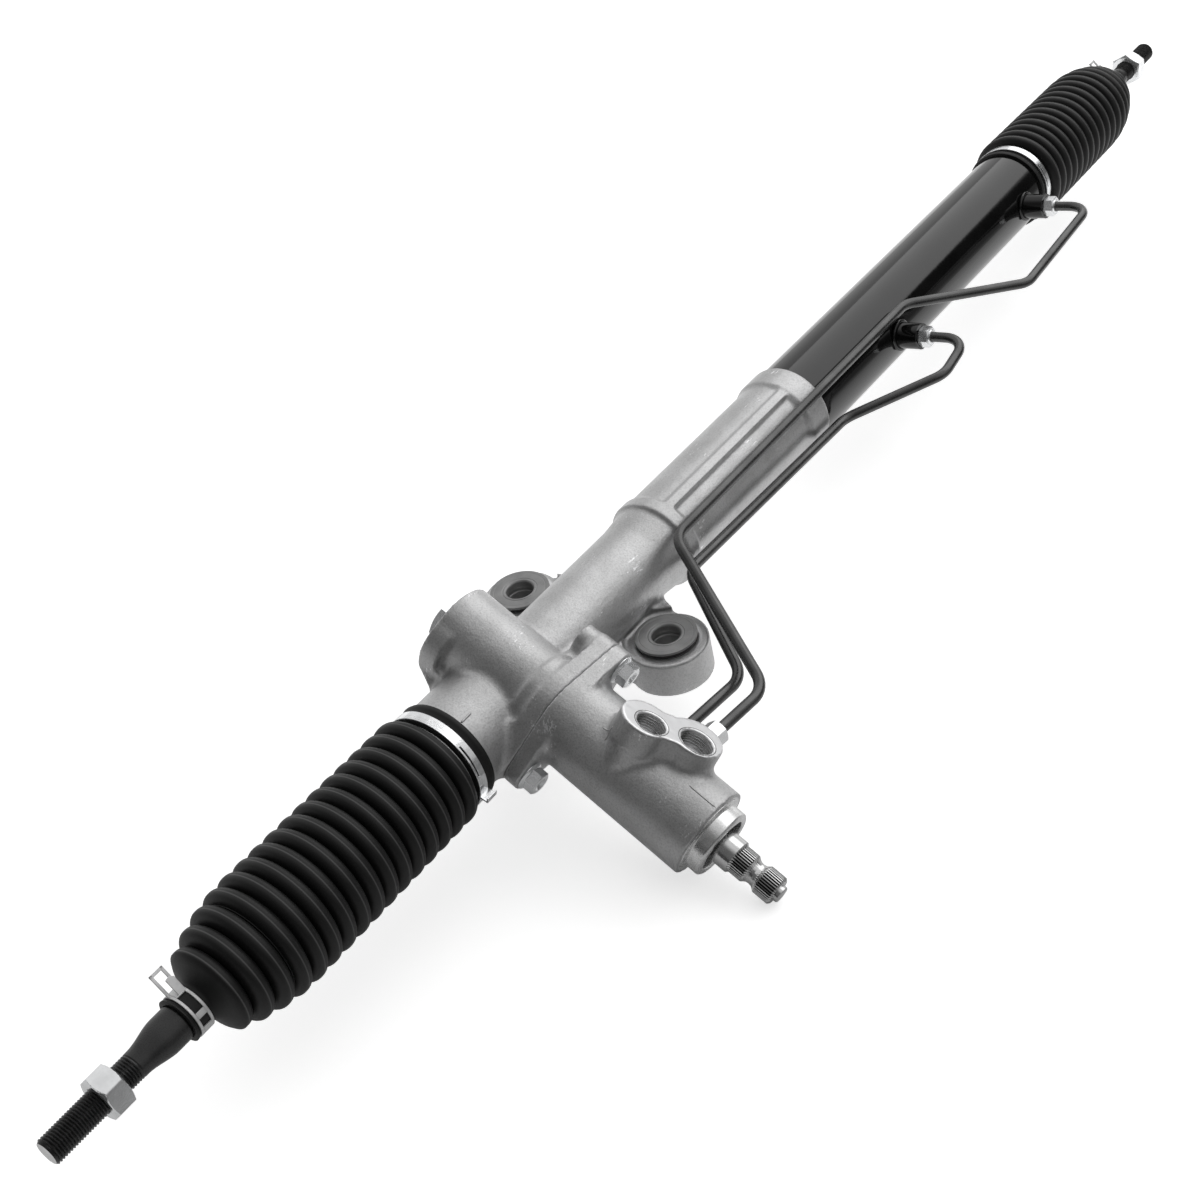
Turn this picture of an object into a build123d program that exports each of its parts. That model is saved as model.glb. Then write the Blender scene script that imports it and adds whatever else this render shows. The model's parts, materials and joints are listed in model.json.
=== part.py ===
from build123d import *
from math import acos, cos, pi, radians, sin, sqrt, tan
import os

# Hydraulic rack-and-pinion steering gear, in millimetres.
# It is drawn with the rack's axis on X and the two mounting bushes at X = 0, then moved
# so that the origin is the centre of the front bush's upper seat, with +Z up.

# ---------------------------------------------------------------- driving dimensions
# Stations along the rack, from the plane of the mounting bushes.
LEFT_TIP_X = -408.0
RIGHT_TIP_X = 758.0
RACK_TRAVEL = 72.0
PINION_X = -83.5

# Clearances.
RUNNING_GAP = 0.04        # radial, between a turning or sliding piece and its bore
FIT_GAP = 0.02            # radial, between two pieces that are pressed or screwed together

# Pinion line: it passes over the rack, tilted down and skewed from square.
PINION_TILT = 24.7        # degrees that the input shaft points below level
PINION_SKEW = 5.6         # degrees that it leans towards the left end
TOOTH_MODULE = 1.9
PINION_TEETH = 8
PRESSURE_ANGLE = 25.0
TOOTH_BACKLASH = 0.16
RACK_TOOTH_ADDENDUM = 1.2
PINION_TOOTH_ADDENDUM = 1.3
TOOTH_ROOT_GAP = 0.4
TOOTH_FACE_HALF = 17.0

# Rack bar and piston.
RACK_BAR_R = 13.0
RACK_PITCH_HEIGHT = 9.4   # from the rack's axis to the pitch line of its teeth
RACK_BORE_R = 16.0
PISTON_X = 391.0
PISTON_WIDTH = 16.0
PISTON_SLEEVE_WALL = 2.5
PISTON_RING_WIDTH = 4.0
PISTON_RING_DEPTH = 3.0

# Cast rack housing.
NECK_R = 28.3
NECK_END_X = -158.0
NECK_INNER_X = -104.0
RACK_TUBE_R = 24.5
RACK_TUBE_START_X = -68.0
FLARE_START_X = 34.0
FLARE_R = 26.2
COLLAR_R = 28.4
COLLAR_START_X = 50.0
COLLAR_END_X = 61.0
PANEL_R = 27.0
PANEL_FLOOR_R = 26.0
PANEL_LOW_ANGLE = -30.0   # degrees above the front, where the lower panel starts
PANEL_RIB_ANGLE = 61.0    # and where the rib between the two panels starts
PANEL_RIB_SPREAD = 12.0
END_RIM_R = 29.0
END_RIM_START_X = 187.0
END_RIM_X = 205.0
CASTING_EDGE = 1.5

# Cylinder tube.
TUBE_R = 27.2
TUBE_WALL = 3.5
TUBE_END_X = 519.5
SPIGOT_R = 23.4           # reduced end of the tube that is pressed into the casting
SPIGOT_START_X = 168.0
SPIGOT_LEAD = 6.0
SPIGOT_TAPER_X = 215.0
INNER_PORT_X = 299.0
OUTER_PORT_X = 483.0
TUBE_PORT_ANGLE = 7.0     # degrees that the two tube ports point above level
TUBE_BOSS_R = 8.4
TUBE_BOSS_REACH = 43.0    # from the rack's axis to the boss's end
BULKHEAD_WIDTH = 12.0
SEAL_WIDTH = 5.0
SEAL_R = 19.5
SNAP_RING_WIDTH = 2.0
SNAP_RING_DEPTH = 1.4

# Mounting bushes: bolts pass through them along Z.
FRONT_BUSH_Y = -42.0
REAR_BUSH_Y = 62.0
BUSH_SEAT_Z = -12.5
BUSH_LENGTH = 29.5
BUSH_BOLT_R = 8.0
BUSH_SLEEVE_WALL = 2.0
BUSH_FLANGE_R = 17.6
BUSH_FLANGE_THICK = 1.6
BUSH_RUBBER_R = 16.6
BUSH_SHELL_WALL = 1.2
BUSH_LIP = 2.4            # rubber that stands above and below the casting
FRONT_BOSS_R = 23.5
REAR_BOSS_R = 22.5
BOSS_WEB_ROOT = 27.0      # half the web's width at the rack tube and at the boss
BOSS_WEB_WAIST = 21.0
BOSS_WEB_RISE = 3.2       # from the boss's underside to the web's underside
BOSS_SPOT_FACE_R = 24.2   # round cut that seats the bush's flange

# Stations along the pinion line, from the rack; the input end is positive.
FAR_END_T = -41.5
FAR_RIM_START_T = -30.5
CAP_HEAD_T = -48.5
CAP_START_T = -36.0
BEARING_START_T = -28.5
BEARING_WIDTH = 9.0
UPPER_BEARING_T = 22.0
UPPER_BEARING_WIDTH = 11.0
PARTING_T = 34.5
FLANGE_THICK = 9.0
BARREL_STEP_T = 18.0
EAR_COLUMN_T = 16.0
SLEEVE_START_T = 52.0
SLEEVE_END_T = 112.0

# Lengths of what follows the valve sleeve, up to the shaft's tip.
INPUT_END_GAP = 1.0
INPUT_SEAL_WIDTH = 8.0
RETAINER_THREAD = 11.0
RETAINER_HEAD = 9.5
SHAFT_SHOULDER = 9.0
LONG_SPLINE = 7.5
SPLINE_GROOVE = 8.0
END_SPLINE = 10.0
SHAFT_TIP = 2.5

# Pieces on the pinion line.
BARREL_R = 22.5
BARREL_STEP_R = 24.0
EAR_COLUMN_R = 8.5
FAR_RIM_R = 22.5
FAR_RIM_SHIFT = 7.5       # the far rim is cast off-centre, towards the neck's left side
FAR_RIM_ANGLE = 215.0
PINION_JOURNAL_R = 9.5
PINION_TAIL_R = 6.0
PINION_HEAD_R = 15.0
GEAR_CHAMBER_R = 12.0
WEB_HALF = 7.0
WEB_FOOT_T = -26.0
WEB_FOOT_REACH = 36.0
BEARING_R = 15.0
BALL_BEARING_BALLS = 9
BEARING_BALL_R = 2.4
UPPER_CUP_R = 13.0
NEEDLE_R = 1.2
NEEDLE_COUNT = 16
PINION_NUT_HEX = 17.0
PINION_NUT_THICK = 6.0
CAP_R = 16.5
CAP_HEX = 27.0
SHAFT_R = 9.3
SPOOL_R = 12.0
SPOOL_NOSE_R = 6.4
SLEEVE_R = 18.0
SEAL_RING_GROOVE = 1.6
SEAL_RING_WIDTH = 2.0
SEAL_RING_COUNT = 4
TORSION_BAR_R = 2.6
TORSION_HEAD_R = 3.6
RETAINER_R = 19.2
RETAINER_THREAD_R = 20.5
RETAINER_HOLE_R = 14.8
SPLINE_R = 8.05
SPLINE_NECK_R = 7.2
SHAFT_TIP_R = 4.6

# Valve housing and its ports.
VALVE_BODY_R = 25.2
FLANGE_BOLT_PITCH_R = 36.0
FLANGE_BOLT_ANGLE = 28.0  # degrees from the rack, about the pinion line
FLANGE_EAR_R = 9.5
FLANGE_BOLT_R = 4.0
FLANGE_BOLT_HEX = 12.0
FLANGE_BOLT_HEAD = 6.5
FLANGE_BOLT_COLLAR_R = 8.5
FLANGE_BOLT_COLLAR = 1.5
O_RING_R = 19.0
O_RING_THICK = 2.0
PORT_FACE = 37.0          # from the pinion line to the machined port face
PORT_ANGLE = 65.4         # degrees from the rack, about the pinion line
PORT_PLATE_THICK = 14.0
PORT_WAIST = 11.2         # half the plate's width between its two lobes
RETURN_LOBE_R = 14.0
RETURN_STEM_R = 13.0
PRESSURE_LOBE_R = 14.8
PRESSURE_STEM_R = 10.5
RETURN_PORT_T = 83.0
RETURN_PORT_SIDE = 12.3
RETURN_PORT_R = 8.0
RETURN_LOBE_SHIFT = (-3.5, -1.0)
PRESSURE_PORT_T = 104.0
PRESSURE_PORT_SIDE = -1.3
PRESSURE_PORT_R = 9.0
PRESSURE_LOBE_SHIFT = (-2.0, -2.8)
PORT_DEPTH = 12.0
PORT_PASSAGE_R = 3.0
PIPE_BOSS_R = 8.5
PIPE_BOSS_REACH = 32.0
RIGHT_LINE_T = 103.0      # valve connection of the pipe to the outer port
RIGHT_LINE_HEIGHT = 16.8
LEFT_LINE_T = 85.5        # valve connection of the pipe to the inner port
LEFT_LINE_HEIGHT = 0.0

# Pipes.
PIPE_R = 3.2
PIPE_BORE_R = 2.2
PIPE_BEND_R = 16.0
PIPE_INSERTION = 9.0
PIPE_NUT_HEX = 13.0
PIPE_NUT_THREAD_R = 5.5
VALVE_NUT_LENGTH = 11.0
TUBE_NUT_LENGTH = 7.0
PIPE_CORNER_REACH = 75.0
RIGHT_LINE_BEND = 80.0    # from the pinion line to each pipe's first bend
LEFT_LINE_BEND = 89.0
RIGHT_RUN_START_X = 41.0  # straight run of each pipe along the rack
RIGHT_RUN_PAST_PORT = 9.0
RIGHT_RUN_Y = -26.9
RIGHT_RUN_Z = 21.0
LEFT_RUN_START_X = 39.0
LEFT_RUN_PAST_RIM = 8.0
LEFT_RUN_Y = -33.8
LEFT_RUN_START_Z = 0.5
LEFT_RUN_END_Z = -6.0
RIGHT_CROSS_REACH = 107.0   # last bend before each pipe comes to its tube port
RIGHT_CROSS_Y = -79.5
RIGHT_CROSS_Z = 8.3
LEFT_CROSS_REACH = 35.0
LEFT_CROSS_Y = -76.5
LEFT_CROSS_Z = 4.5

# Yoke that holds the rack against the pinion.
YOKE_BOSS_R = 20.0
YOKE_BOSS_REACH = 44.0
YOKE_R = 14.0
YOKE_BACK = 24.0
YOKE_FRONT = 5.0
YOKE_LINER = 0.8
YOKE_SPRING_R = 6.5
YOKE_SPRING_WIRE_R = 1.1
YOKE_SPRING_TURNS = 3
YOKE_SPRING_POCKET = 7.0
YOKE_PLUG_START = 34.0
YOKE_PLUG_END = 51.0
LOCKNUT_HEX = 34.0
LOCKNUT_THICK = 6.0

# Tie rods, mirrored at the two ends.
TIE_ROD_LENGTH = 132.0    # from the ball's centre to the tip
THREAD_R = 7.0
THREAD_PITCH = 1.5
THREAD_PITCH_R = THREAD_R - 0.325 * THREAD_PITCH   # where the rod's thread and its nut meet
THREAD_LENGTH = 52.0
THREAD_CHAMFER = 1.0
LEFT_TAPER_END = 70.0
LEFT_GROOVE_START = 78.0
RIGHT_TAPER_END = 62.0
RIGHT_GROOVE_START = 65.5
GROOVE_WIDTH = 14.0
GROOVE_R = 8.6
SHANK_R = 9.7
ROD_R = 9.0
ROD_NECK_R = 6.5
ROD_NECK_LENGTH = 24.0
BALL_R = 12.7
BALL_SEAT_WALL = 1.6
BALL_SEAT_MOUTH = 7.3
SOCKET_R = 19.0
SOCKET_MOUTH = 9.0
SOCKET_MOUTH_R = 14.0
SOCKET_BASE = 32.0
BALL_SWING = 20.0         # degrees each way
LOCK_WASHER_R = 17.5
LOCK_WASHER_THICK = 2.0
RACK_STUD_R = 8.0
RACK_STUD_LENGTH = 14.0
JAM_NUT_HEX = 22.0
JAM_NUT_THICK = 11.5
LEFT_JAM_NUT_REACH = 35.6   # from the tip to the nut's middle
RIGHT_JAM_NUT_REACH = 33.0

# Boots and their clamps.
BOOT_RIDGE_R = 33.0
BOOT_FIRST_RIDGE = 10.5     # from the large clamp's middle to the first ridge
BOOT_LAST_RIDGE = 14.0      # from the last ridge to the small clamp's middle
BOOT_RIDGES = 16
BOOT_FOLD = 6.5
BOOT_WALL = 2.0
BOOT_CUFF_WALL = 1.5
BOOT_SHRINK_RIDGES = 4
BOOT_SHRINK = 9.2
LEFT_CLAMP_X = -144.5
RIGHT_CLAMP_X = 516.3
LARGE_CUFF_LIP = 9.5
LARGE_CUFF_INNER = 3.0
LARGE_CLAMP_WIDTH = 5.8
CLAMP_THICK = 0.8
CLAMP_TAIL_LENGTH = 9.0
CLAMP_GRIP_HEIGHT = 5.0
CLAMP_GRIP_THICK = 1.6
SMALL_CUFF_WALL = 2.6
SMALL_CUFF_WIDTH = 13.0
SMALL_CLAMP_WIDTH = 8.0

# ---------------------------------------------------------------- derived dimensions
PITCH_R = TOOTH_MODULE * PINION_TEETH / 2
PINION_OFFSET = PITCH_R + RACK_PITCH_HEIGHT
TOOTH_PITCH = pi * TOOTH_MODULE
TUBE_BORE_R = TUBE_R - TUBE_WALL
SPIGOT_BORE_R = SPIGOT_R - TUBE_WALL
VALVE_FLANGE_T = PARTING_T + FLANGE_THICK
BEARING_END_T = BEARING_START_T + BEARING_WIDTH
INPUT_BEARING_T = SLEEVE_END_T + INPUT_END_GAP
INPUT_SEAL_T = INPUT_BEARING_T + BEARING_WIDTH + 2 * INPUT_END_GAP
RETAINER_START_T = INPUT_SEAL_T - INPUT_END_GAP
DUST_SEAL_T = INPUT_SEAL_T + INPUT_SEAL_WIDTH + 3 * INPUT_END_GAP
VALVE_END_T = RETAINER_START_T + RETAINER_THREAD
RETAINER_END_T = VALVE_END_T + RETAINER_HEAD
SHAFT_SHOULDER_T = RETAINER_END_T + SHAFT_SHOULDER
SPLINE_START_T = SHAFT_SHOULDER_T + INPUT_END_GAP
SPLINE_GROOVE_T = SPLINE_START_T + LONG_SPLINE
SPLINE_RESTART_T = SPLINE_GROOVE_T + SPLINE_GROOVE
SPLINE_END_T = SPLINE_RESTART_T + END_SPLINE
SHAFT_TIP_T = SPLINE_END_T + SHAFT_TIP
UPPER_BEARING_END_T = UPPER_BEARING_T + UPPER_BEARING_WIDTH
SLEEVE_BORE_R = SPOOL_R + RUNNING_GAP
VALVE_BORE_R = SLEEVE_R + RUNNING_GAP
LEFT_BALL_X = LEFT_TIP_X + TIE_ROD_LENGTH
RIGHT_BALL_X = RIGHT_TIP_X - TIE_ROD_LENGTH
LEFT_SHOULDER_X = LEFT_BALL_X + SOCKET_BASE + LOCK_WASHER_THICK
RIGHT_SHOULDER_X = RIGHT_BALL_X - SOCKET_BASE - LOCK_WASHER_THICK
LEFT_SMALL_CLAMP_X = LEFT_TIP_X + LEFT_GROOVE_START + GROOVE_WIDTH / 2
RIGHT_SMALL_CLAMP_X = RIGHT_TIP_X - RIGHT_GROOVE_START - GROOVE_WIDTH / 2
BUSH_BOTTOM_Z = BUSH_SEAT_Z - BUSH_LENGTH
BOSS_TOP_Z = BUSH_SEAT_Z - BUSH_LIP - BUSH_FLANGE_THICK
BOSS_BOTTOM_Z = BUSH_BOTTOM_Z + BUSH_LIP + BUSH_FLANGE_THICK
INNER_BULKHEAD_X = INNER_PORT_X - TUBE_BOSS_R - BULKHEAD_WIDTH
OUTER_BULKHEAD_X = TUBE_END_X - 2.5 * SNAP_RING_WIDTH - BULKHEAD_WIDTH
BUSH_CENTRES_Y = (FRONT_BUSH_Y, REAR_BUSH_Y)

# The pinion line's own directions: along the rack but skewed, up from the rack, along the shaft.
tilt = radians(PINION_TILT)
skew = radians(PINION_SKEW)
ACROSS = Vector(cos(skew), -sin(skew) * cos(tilt), -sin(skew) * sin(tilt))
UP = Vector(0, -sin(tilt), cos(tilt))
ALONG = Vector(-sin(skew), -cos(skew) * cos(tilt), -cos(skew) * sin(tilt))
PINION_ORIGIN = Vector(PINION_X, 0, 0) + UP * PINION_OFFSET
PINION_FRAME = Plane(origin=PINION_ORIGIN, x_dir=ACROSS, z_dir=ALONG)
YOKE_FRAME = Plane(origin=Vector(PINION_X, 0, 0), x_dir=ACROSS, z_dir=-UP)

# Directions that belong to one group of openings, given in the pinion line's frame.
port_angle = radians(PORT_ANGLE)
PORT_FRAME = Plane(origin=(0, 0, 0), x_dir=(0, 0, 1), z_dir=(cos(port_angle), sin(port_angle), 0))
LINE_FRAME = Plane(origin=(0, 0, 0), x_dir=(0, 0, 1), z_dir=(1, 0, 0))

tube_port_angle = radians(TUBE_PORT_ANGLE)
TUBE_PORT_DIRECTION = Vector(0, -cos(tube_port_angle), sin(tube_port_angle))

ORIGIN_SHIFT = Vector(0, -FRONT_BUSH_Y, -BUSH_SEAT_Z)


# ---------------------------------------------------------------- shared shapes
def turned_on_x(points):
    """Solid of revolution about the rack's axis, from (x, radius) points."""
    return revolve(make_face(Polyline(*points, close=True)), Axis.X)


def turned_on_z(points):
    """Solid of revolution about Z, from (radius, z) points."""
    corners = [(radius, 0, height) for radius, height in points]
    return revolve(make_face(Polyline(*corners, close=True)), Axis.Z)


def ring_x(start_x, end_x, outer_r, inner_r):
    return turned_on_x([(start_x, inner_r), (end_x, inner_r), (end_x, outer_r), (start_x, outer_r)])


def rod_x(start_x, end_x, outer_r):
    return ring_x(start_x, end_x, outer_r, 0)


def sector_x(start_x, end_x, outer_r, inner_r, low_angle, high_angle):
    """Part of a ring about the rack's axis, between two angles above the front."""
    profile = make_face(Polyline(
        (start_x, inner_r), (end_x, inner_r), (end_x, outer_r), (start_x, outer_r), close=True,
    ))
    return Rot(180 - high_angle, 0, 0) * revolve(profile, Axis.X, high_angle - low_angle)


def rod_z(start_z, end_z, outer_r):
    return turned_on_z([(0, start_z), (outer_r, start_z), (outer_r, end_z), (0, end_z)])


def ring_z(start_z, end_z, outer_r, inner_r):
    return turned_on_z([(inner_r, start_z), (outer_r, start_z), (outer_r, end_z), (inner_r, end_z)])


def hex_z(start_z, end_z, across_flats):
    """Hexagonal bar whose corners are turned down at both ends."""
    corner_r = across_flats / sqrt(3)
    edge = (corner_r - across_flats / 2) / 2
    bar = Pos(0, 0, start_z) * extrude(RegularPolygon(corner_r, 6), end_z - start_z)
    turned = turned_on_z([
        (0, start_z), (across_flats / 2, start_z), (corner_r, start_z + edge),
        (corner_r, end_z - edge), (across_flats / 2, end_z), (0, end_z),
    ])
    return bar & turned


def on_pinion(shape):
    """Put a shape drawn about Z onto the pinion line."""
    return PINION_FRAME.location * shape


def on_port(shape):
    """Put a shape onto the valve housing, with Z out of the hose ports' face."""
    return on_pinion(PORT_FRAME.location * shape)


def on_line(along, height, shape):
    """Put a shape on a pipe connection of the valve housing, with Z out of it."""
    return on_pinion(Pos(0, height, along) * LINE_FRAME.location * shape)


def on_tube_port(port_x, shape):
    """Put a shape on a tube port, with Z out of it and starting at the rack's axis."""
    frame = Plane(origin=(port_x, 0, 0), x_dir=(1, 0, 0), z_dir=TUBE_PORT_DIRECTION)
    return frame.location * shape


def on_bush(centre_y, shape):
    return Pos(0, centre_y, 0) * shape


def facing_left(station_x, shape):
    """Turn a shape drawn about Z so that it points to the left end."""
    return Pos(station_x, 0, 0) * Rot(0, -90, 0) * shape


def facing_right(station_x, shape):
    return Pos(station_x, 0, 0) * Rot(0, 90, 0) * shape


# ---------------------------------------------------------------- rack housing
def turned_casting():
    """Outside of the casting that is turned about the rack's axis."""
    return turned_on_x([
        (NECK_END_X, 0),
        (NECK_END_X, NECK_R - 2 * CASTING_EDGE),
        (NECK_END_X + 2 * CASTING_EDGE, NECK_R),
        (NECK_INNER_X, NECK_R),
        (RACK_TUBE_START_X, RACK_TUBE_R),
        (FLARE_START_X, RACK_TUBE_R),
        (COLLAR_START_X, FLARE_R),
        (COLLAR_START_X + CASTING_EDGE, COLLAR_R),
        (COLLAR_END_X - CASTING_EDGE, COLLAR_R),
        (COLLAR_END_X, PANEL_R),
        (END_RIM_START_X - 2 * CASTING_EDGE, PANEL_R),
        (END_RIM_START_X, END_RIM_R),
        (END_RIM_X - CASTING_EDGE, END_RIM_R),
        (END_RIM_X, END_RIM_R - CASTING_EDGE),
        (END_RIM_X, 0),
    ])


def panel_recess():
    """Shallow pocket along the front of the housing, between the collar and the end rim."""
    end_x = END_RIM_START_X - 2 * CASTING_EDGE
    edge_r = PANEL_R + CASTING_EDGE
    return sector_x(COLLAR_END_X, end_x, edge_r, PANEL_FLOOR_R, PANEL_LOW_ANGLE, PANEL_RIB_ANGLE)


def panel_rib():
    """Rib that runs from the collar to the end rim, above the pocket."""
    high_angle = PANEL_RIB_ANGLE + PANEL_RIB_SPREAD
    start_x = COLLAR_END_X - 2 * CASTING_EDGE
    end_x = END_RIM_START_X + CASTING_EDGE
    return sector_x(start_x, end_x, COLLAR_R, RACK_TUBE_R, PANEL_RIB_ANGLE, high_angle)


def bush_boss(centre_y, boss_r):
    """One mounting ear: a round boss, and a web that narrows from the rack tube to it."""
    boss = on_bush(centre_y, rod_z(BOSS_BOTTOM_Z, BOSS_TOP_Z, boss_r))
    side = 1 if centre_y > 0 else -1
    root_y = side * RACK_TUBE_R * 0.8
    waist_y = centre_y - side * boss_r / 3
    outline = make_face(Polyline(
        (-BOSS_WEB_ROOT, 0), (-BOSS_WEB_ROOT, root_y), (-BOSS_WEB_WAIST, waist_y),
        (BOSS_WEB_WAIST, waist_y), (BOSS_WEB_ROOT, root_y), (BOSS_WEB_ROOT, 0),
        close=True,
    ))
    web_z = BOSS_BOTTOM_Z + BOSS_WEB_RISE
    return boss + Pos(0, 0, web_z) * extrude(outline, BUSH_SEAT_Z - web_z, dir=(0, 0, 1))


def bush_spot_face(centre_y):
    """Round cut that seats the bush's flange and stays clear of the rack tube."""
    cut = on_bush(centre_y, rod_z(BOSS_TOP_Z, RACK_TUBE_R, BOSS_SPOT_FACE_R))
    return cut - rod_x(-BOSS_WEB_ROOT, BOSS_WEB_ROOT, RACK_TUBE_R)


def flange_outline():
    """Two-bolt flange, drawn about the pinion line."""
    outline = Circle(VALVE_BODY_R).edges()
    for side in (-1, 1):
        ear = Rot(0, 0, FLANGE_BOLT_ANGLE) * Pos(side * FLANGE_BOLT_PITCH_R, 0) * Circle(FLANGE_EAR_R)
        outline = outline + ear.edges()
    return make_hull(outline)


def flange_bolt_places():
    turn = Rot(0, 0, FLANGE_BOLT_ANGLE)
    return [turn * Pos(side * FLANGE_BOLT_PITCH_R, 0, 0) for side in (-1, 1)]


def far_rim():
    """Off-centre rim round the end plug, with a web from it to the neck."""
    rim = Pos(FAR_RIM_SHIFT, 0, 0) * rod_z(FAR_END_T, FAR_RIM_START_T, FAR_RIM_R)
    side = Plane(origin=(0, 0, 0), x_dir=(0, 0, 1), z_dir=(0, 1, 0))
    outline = make_face(Polyline(
        (FAR_END_T, 0), (FAR_END_T, FAR_RIM_R + FAR_RIM_SHIFT - CASTING_EDGE),
        (FAR_END_T + CASTING_EDGE, FAR_RIM_R + FAR_RIM_SHIFT),
        (WEB_FOOT_T, WEB_FOOT_REACH), (-TOOTH_FACE_HALF / 2, NECK_R), (-TOOTH_FACE_HALF / 2, 0),
        close=True,
    ))
    web = side.location * extrude(outline, WEB_HALF, both=True)
    return on_pinion(Rot(0, 0, FAR_RIM_ANGLE) * (rim + web))


def pinion_barrel():
    """Barrel under the flange, stepped near it, with a column behind each of its ears."""
    flange_start = PARTING_T - FLANGE_THICK
    barrel = rod_z(FAR_END_T, PARTING_T, BARREL_R)
    barrel += rod_z(BARREL_STEP_T, PARTING_T, BARREL_STEP_R)
    barrel += Pos(0, 0, flange_start) * extrude(flange_outline(), FLANGE_THICK)
    for place in flange_bolt_places():
        barrel += place * rod_z(EAR_COLUMN_T, flange_start, EAR_COLUMN_R)
    return on_pinion(barrel)


def yoke_boss():
    edge_start = YOKE_BOSS_REACH - CASTING_EDGE
    return YOKE_FRAME.location * turned_on_z([
        (0, 0), (YOKE_BOSS_R, 0), (YOKE_BOSS_R, edge_start),
        (YOKE_BOSS_R - CASTING_EDGE, YOKE_BOSS_REACH), (0, YOKE_BOSS_REACH),
    ])


def pinion_chamber():
    """Stepped bore for everything on the pinion line inside the rack housing."""
    return on_pinion(turned_on_z([
        (0, FAR_END_T - 1),
        (CAP_R + FIT_GAP, FAR_END_T - 1),
        (CAP_R + FIT_GAP, CAP_START_T),
        (BEARING_R + FIT_GAP, CAP_START_T),
        (BEARING_R + FIT_GAP, BEARING_END_T),
        (GEAR_CHAMBER_R, BEARING_END_T),
        (GEAR_CHAMBER_R, UPPER_BEARING_T),
        (UPPER_CUP_R + FIT_GAP, UPPER_BEARING_T),
        (UPPER_CUP_R + FIT_GAP, PARTING_T + 1),
        (0, PARTING_T + 1),
    ]))


def rack_bore():
    """Bore for the rack, opening out where the cylinder tube is pressed in."""
    return turned_on_x([
        (NECK_END_X - 1, 0),
        (NECK_END_X - 1, RACK_BORE_R),
        (SPIGOT_START_X - SPIGOT_LEAD, RACK_BORE_R),
        (SPIGOT_START_X, SPIGOT_R + FIT_GAP),
        (END_RIM_X + 1, SPIGOT_R + FIT_GAP),
        (END_RIM_X + 1, 0),
    ])


def rack_housing():
    bolt_hole = rod_z(PARTING_T - FLANGE_THICK - 1, PARTING_T + 1, FLANGE_BOLT_R + FIT_GAP)
    casting = turned_casting() - panel_recess() + panel_rib()
    casting += pinion_barrel()
    casting += far_rim()
    casting += yoke_boss()
    casting += bush_boss(FRONT_BUSH_Y, FRONT_BOSS_R)
    casting += bush_boss(REAR_BUSH_Y, REAR_BOSS_R)
    casting -= rack_bore()
    casting -= pinion_chamber()
    casting -= YOKE_FRAME.location * rod_z(0, YOKE_BOSS_REACH + 1, YOKE_R + RUNNING_GAP)
    for centre_y in BUSH_CENTRES_Y:
        casting -= on_bush(centre_y, rod_z(BOSS_BOTTOM_Z - 1, BOSS_TOP_Z + 1, BUSH_RUBBER_R + FIT_GAP))
        casting -= bush_spot_face(centre_y)
    for place in flange_bolt_places():
        casting -= on_pinion(place * bolt_hole)
    return casting


# ---------------------------------------------------------------- cylinder tube
def cylinder_tube():
    tube = turned_on_x([
        (SPIGOT_START_X, SPIGOT_BORE_R),
        (SPIGOT_START_X, SPIGOT_R),
        (END_RIM_X, SPIGOT_R),
        (END_RIM_X, TUBE_R),
        (TUBE_END_X, TUBE_R),
        (TUBE_END_X, TUBE_BORE_R),
        (SPIGOT_TAPER_X, TUBE_BORE_R),
        (END_RIM_X, SPIGOT_BORE_R),
    ])
    groove_x = OUTER_BULKHEAD_X + BULKHEAD_WIDTH
    tube -= ring_x(groove_x, groove_x + SNAP_RING_WIDTH, TUBE_BORE_R + SNAP_RING_DEPTH, TUBE_BORE_R - 1)
    for port_x in (INNER_PORT_X, OUTER_PORT_X):
        tube -= on_tube_port(port_x, rod_z(0, TUBE_BOSS_REACH, PIPE_BORE_R))
    return tube


def tube_port_bosses():
    bosses = []
    skin = rod_x(INNER_BULKHEAD_X, TUBE_END_X, TUBE_R + FIT_GAP)
    seat = TUBE_BOSS_REACH - PIPE_INSERTION
    bore = turned_on_z([
        (0, 0), (PIPE_BORE_R, 0), (PIPE_BORE_R, seat - 1), (PIPE_NUT_THREAD_R + FIT_GAP, seat - 1),
        (PIPE_NUT_THREAD_R + FIT_GAP, TUBE_BOSS_REACH + 1), (0, TUBE_BOSS_REACH + 1),
    ])
    for port_x in (INNER_PORT_X, OUTER_PORT_X):
        boss = on_tube_port(port_x, rod_z(TUBE_BORE_R, TUBE_BOSS_REACH, TUBE_BOSS_R)) - skin
        bosses.append(boss - on_tube_port(port_x, bore))
    return bosses


def bulkhead(start_x, end_x, seal_start_x):
    """Ring that guides the rack and holds one rod seal."""
    body = ring_x(start_x, end_x, TUBE_BORE_R - FIT_GAP, RACK_BAR_R + RUNNING_GAP)
    pocket = ring_x(seal_start_x, seal_start_x + SEAL_WIDTH, SEAL_R + FIT_GAP, RACK_BAR_R)
    return body - pocket


def inner_bulkhead():
    end_x = INNER_BULKHEAD_X + BULKHEAD_WIDTH
    return bulkhead(INNER_BULKHEAD_X, end_x, end_x - SEAL_WIDTH)


def outer_bulkhead():
    return bulkhead(OUTER_BULKHEAD_X, OUTER_BULKHEAD_X + BULKHEAD_WIDTH, OUTER_BULKHEAD_X)


def rod_seal(start_x):
    return ring_x(start_x, start_x + SEAL_WIDTH, SEAL_R, RACK_BAR_R + RUNNING_GAP)


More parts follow.
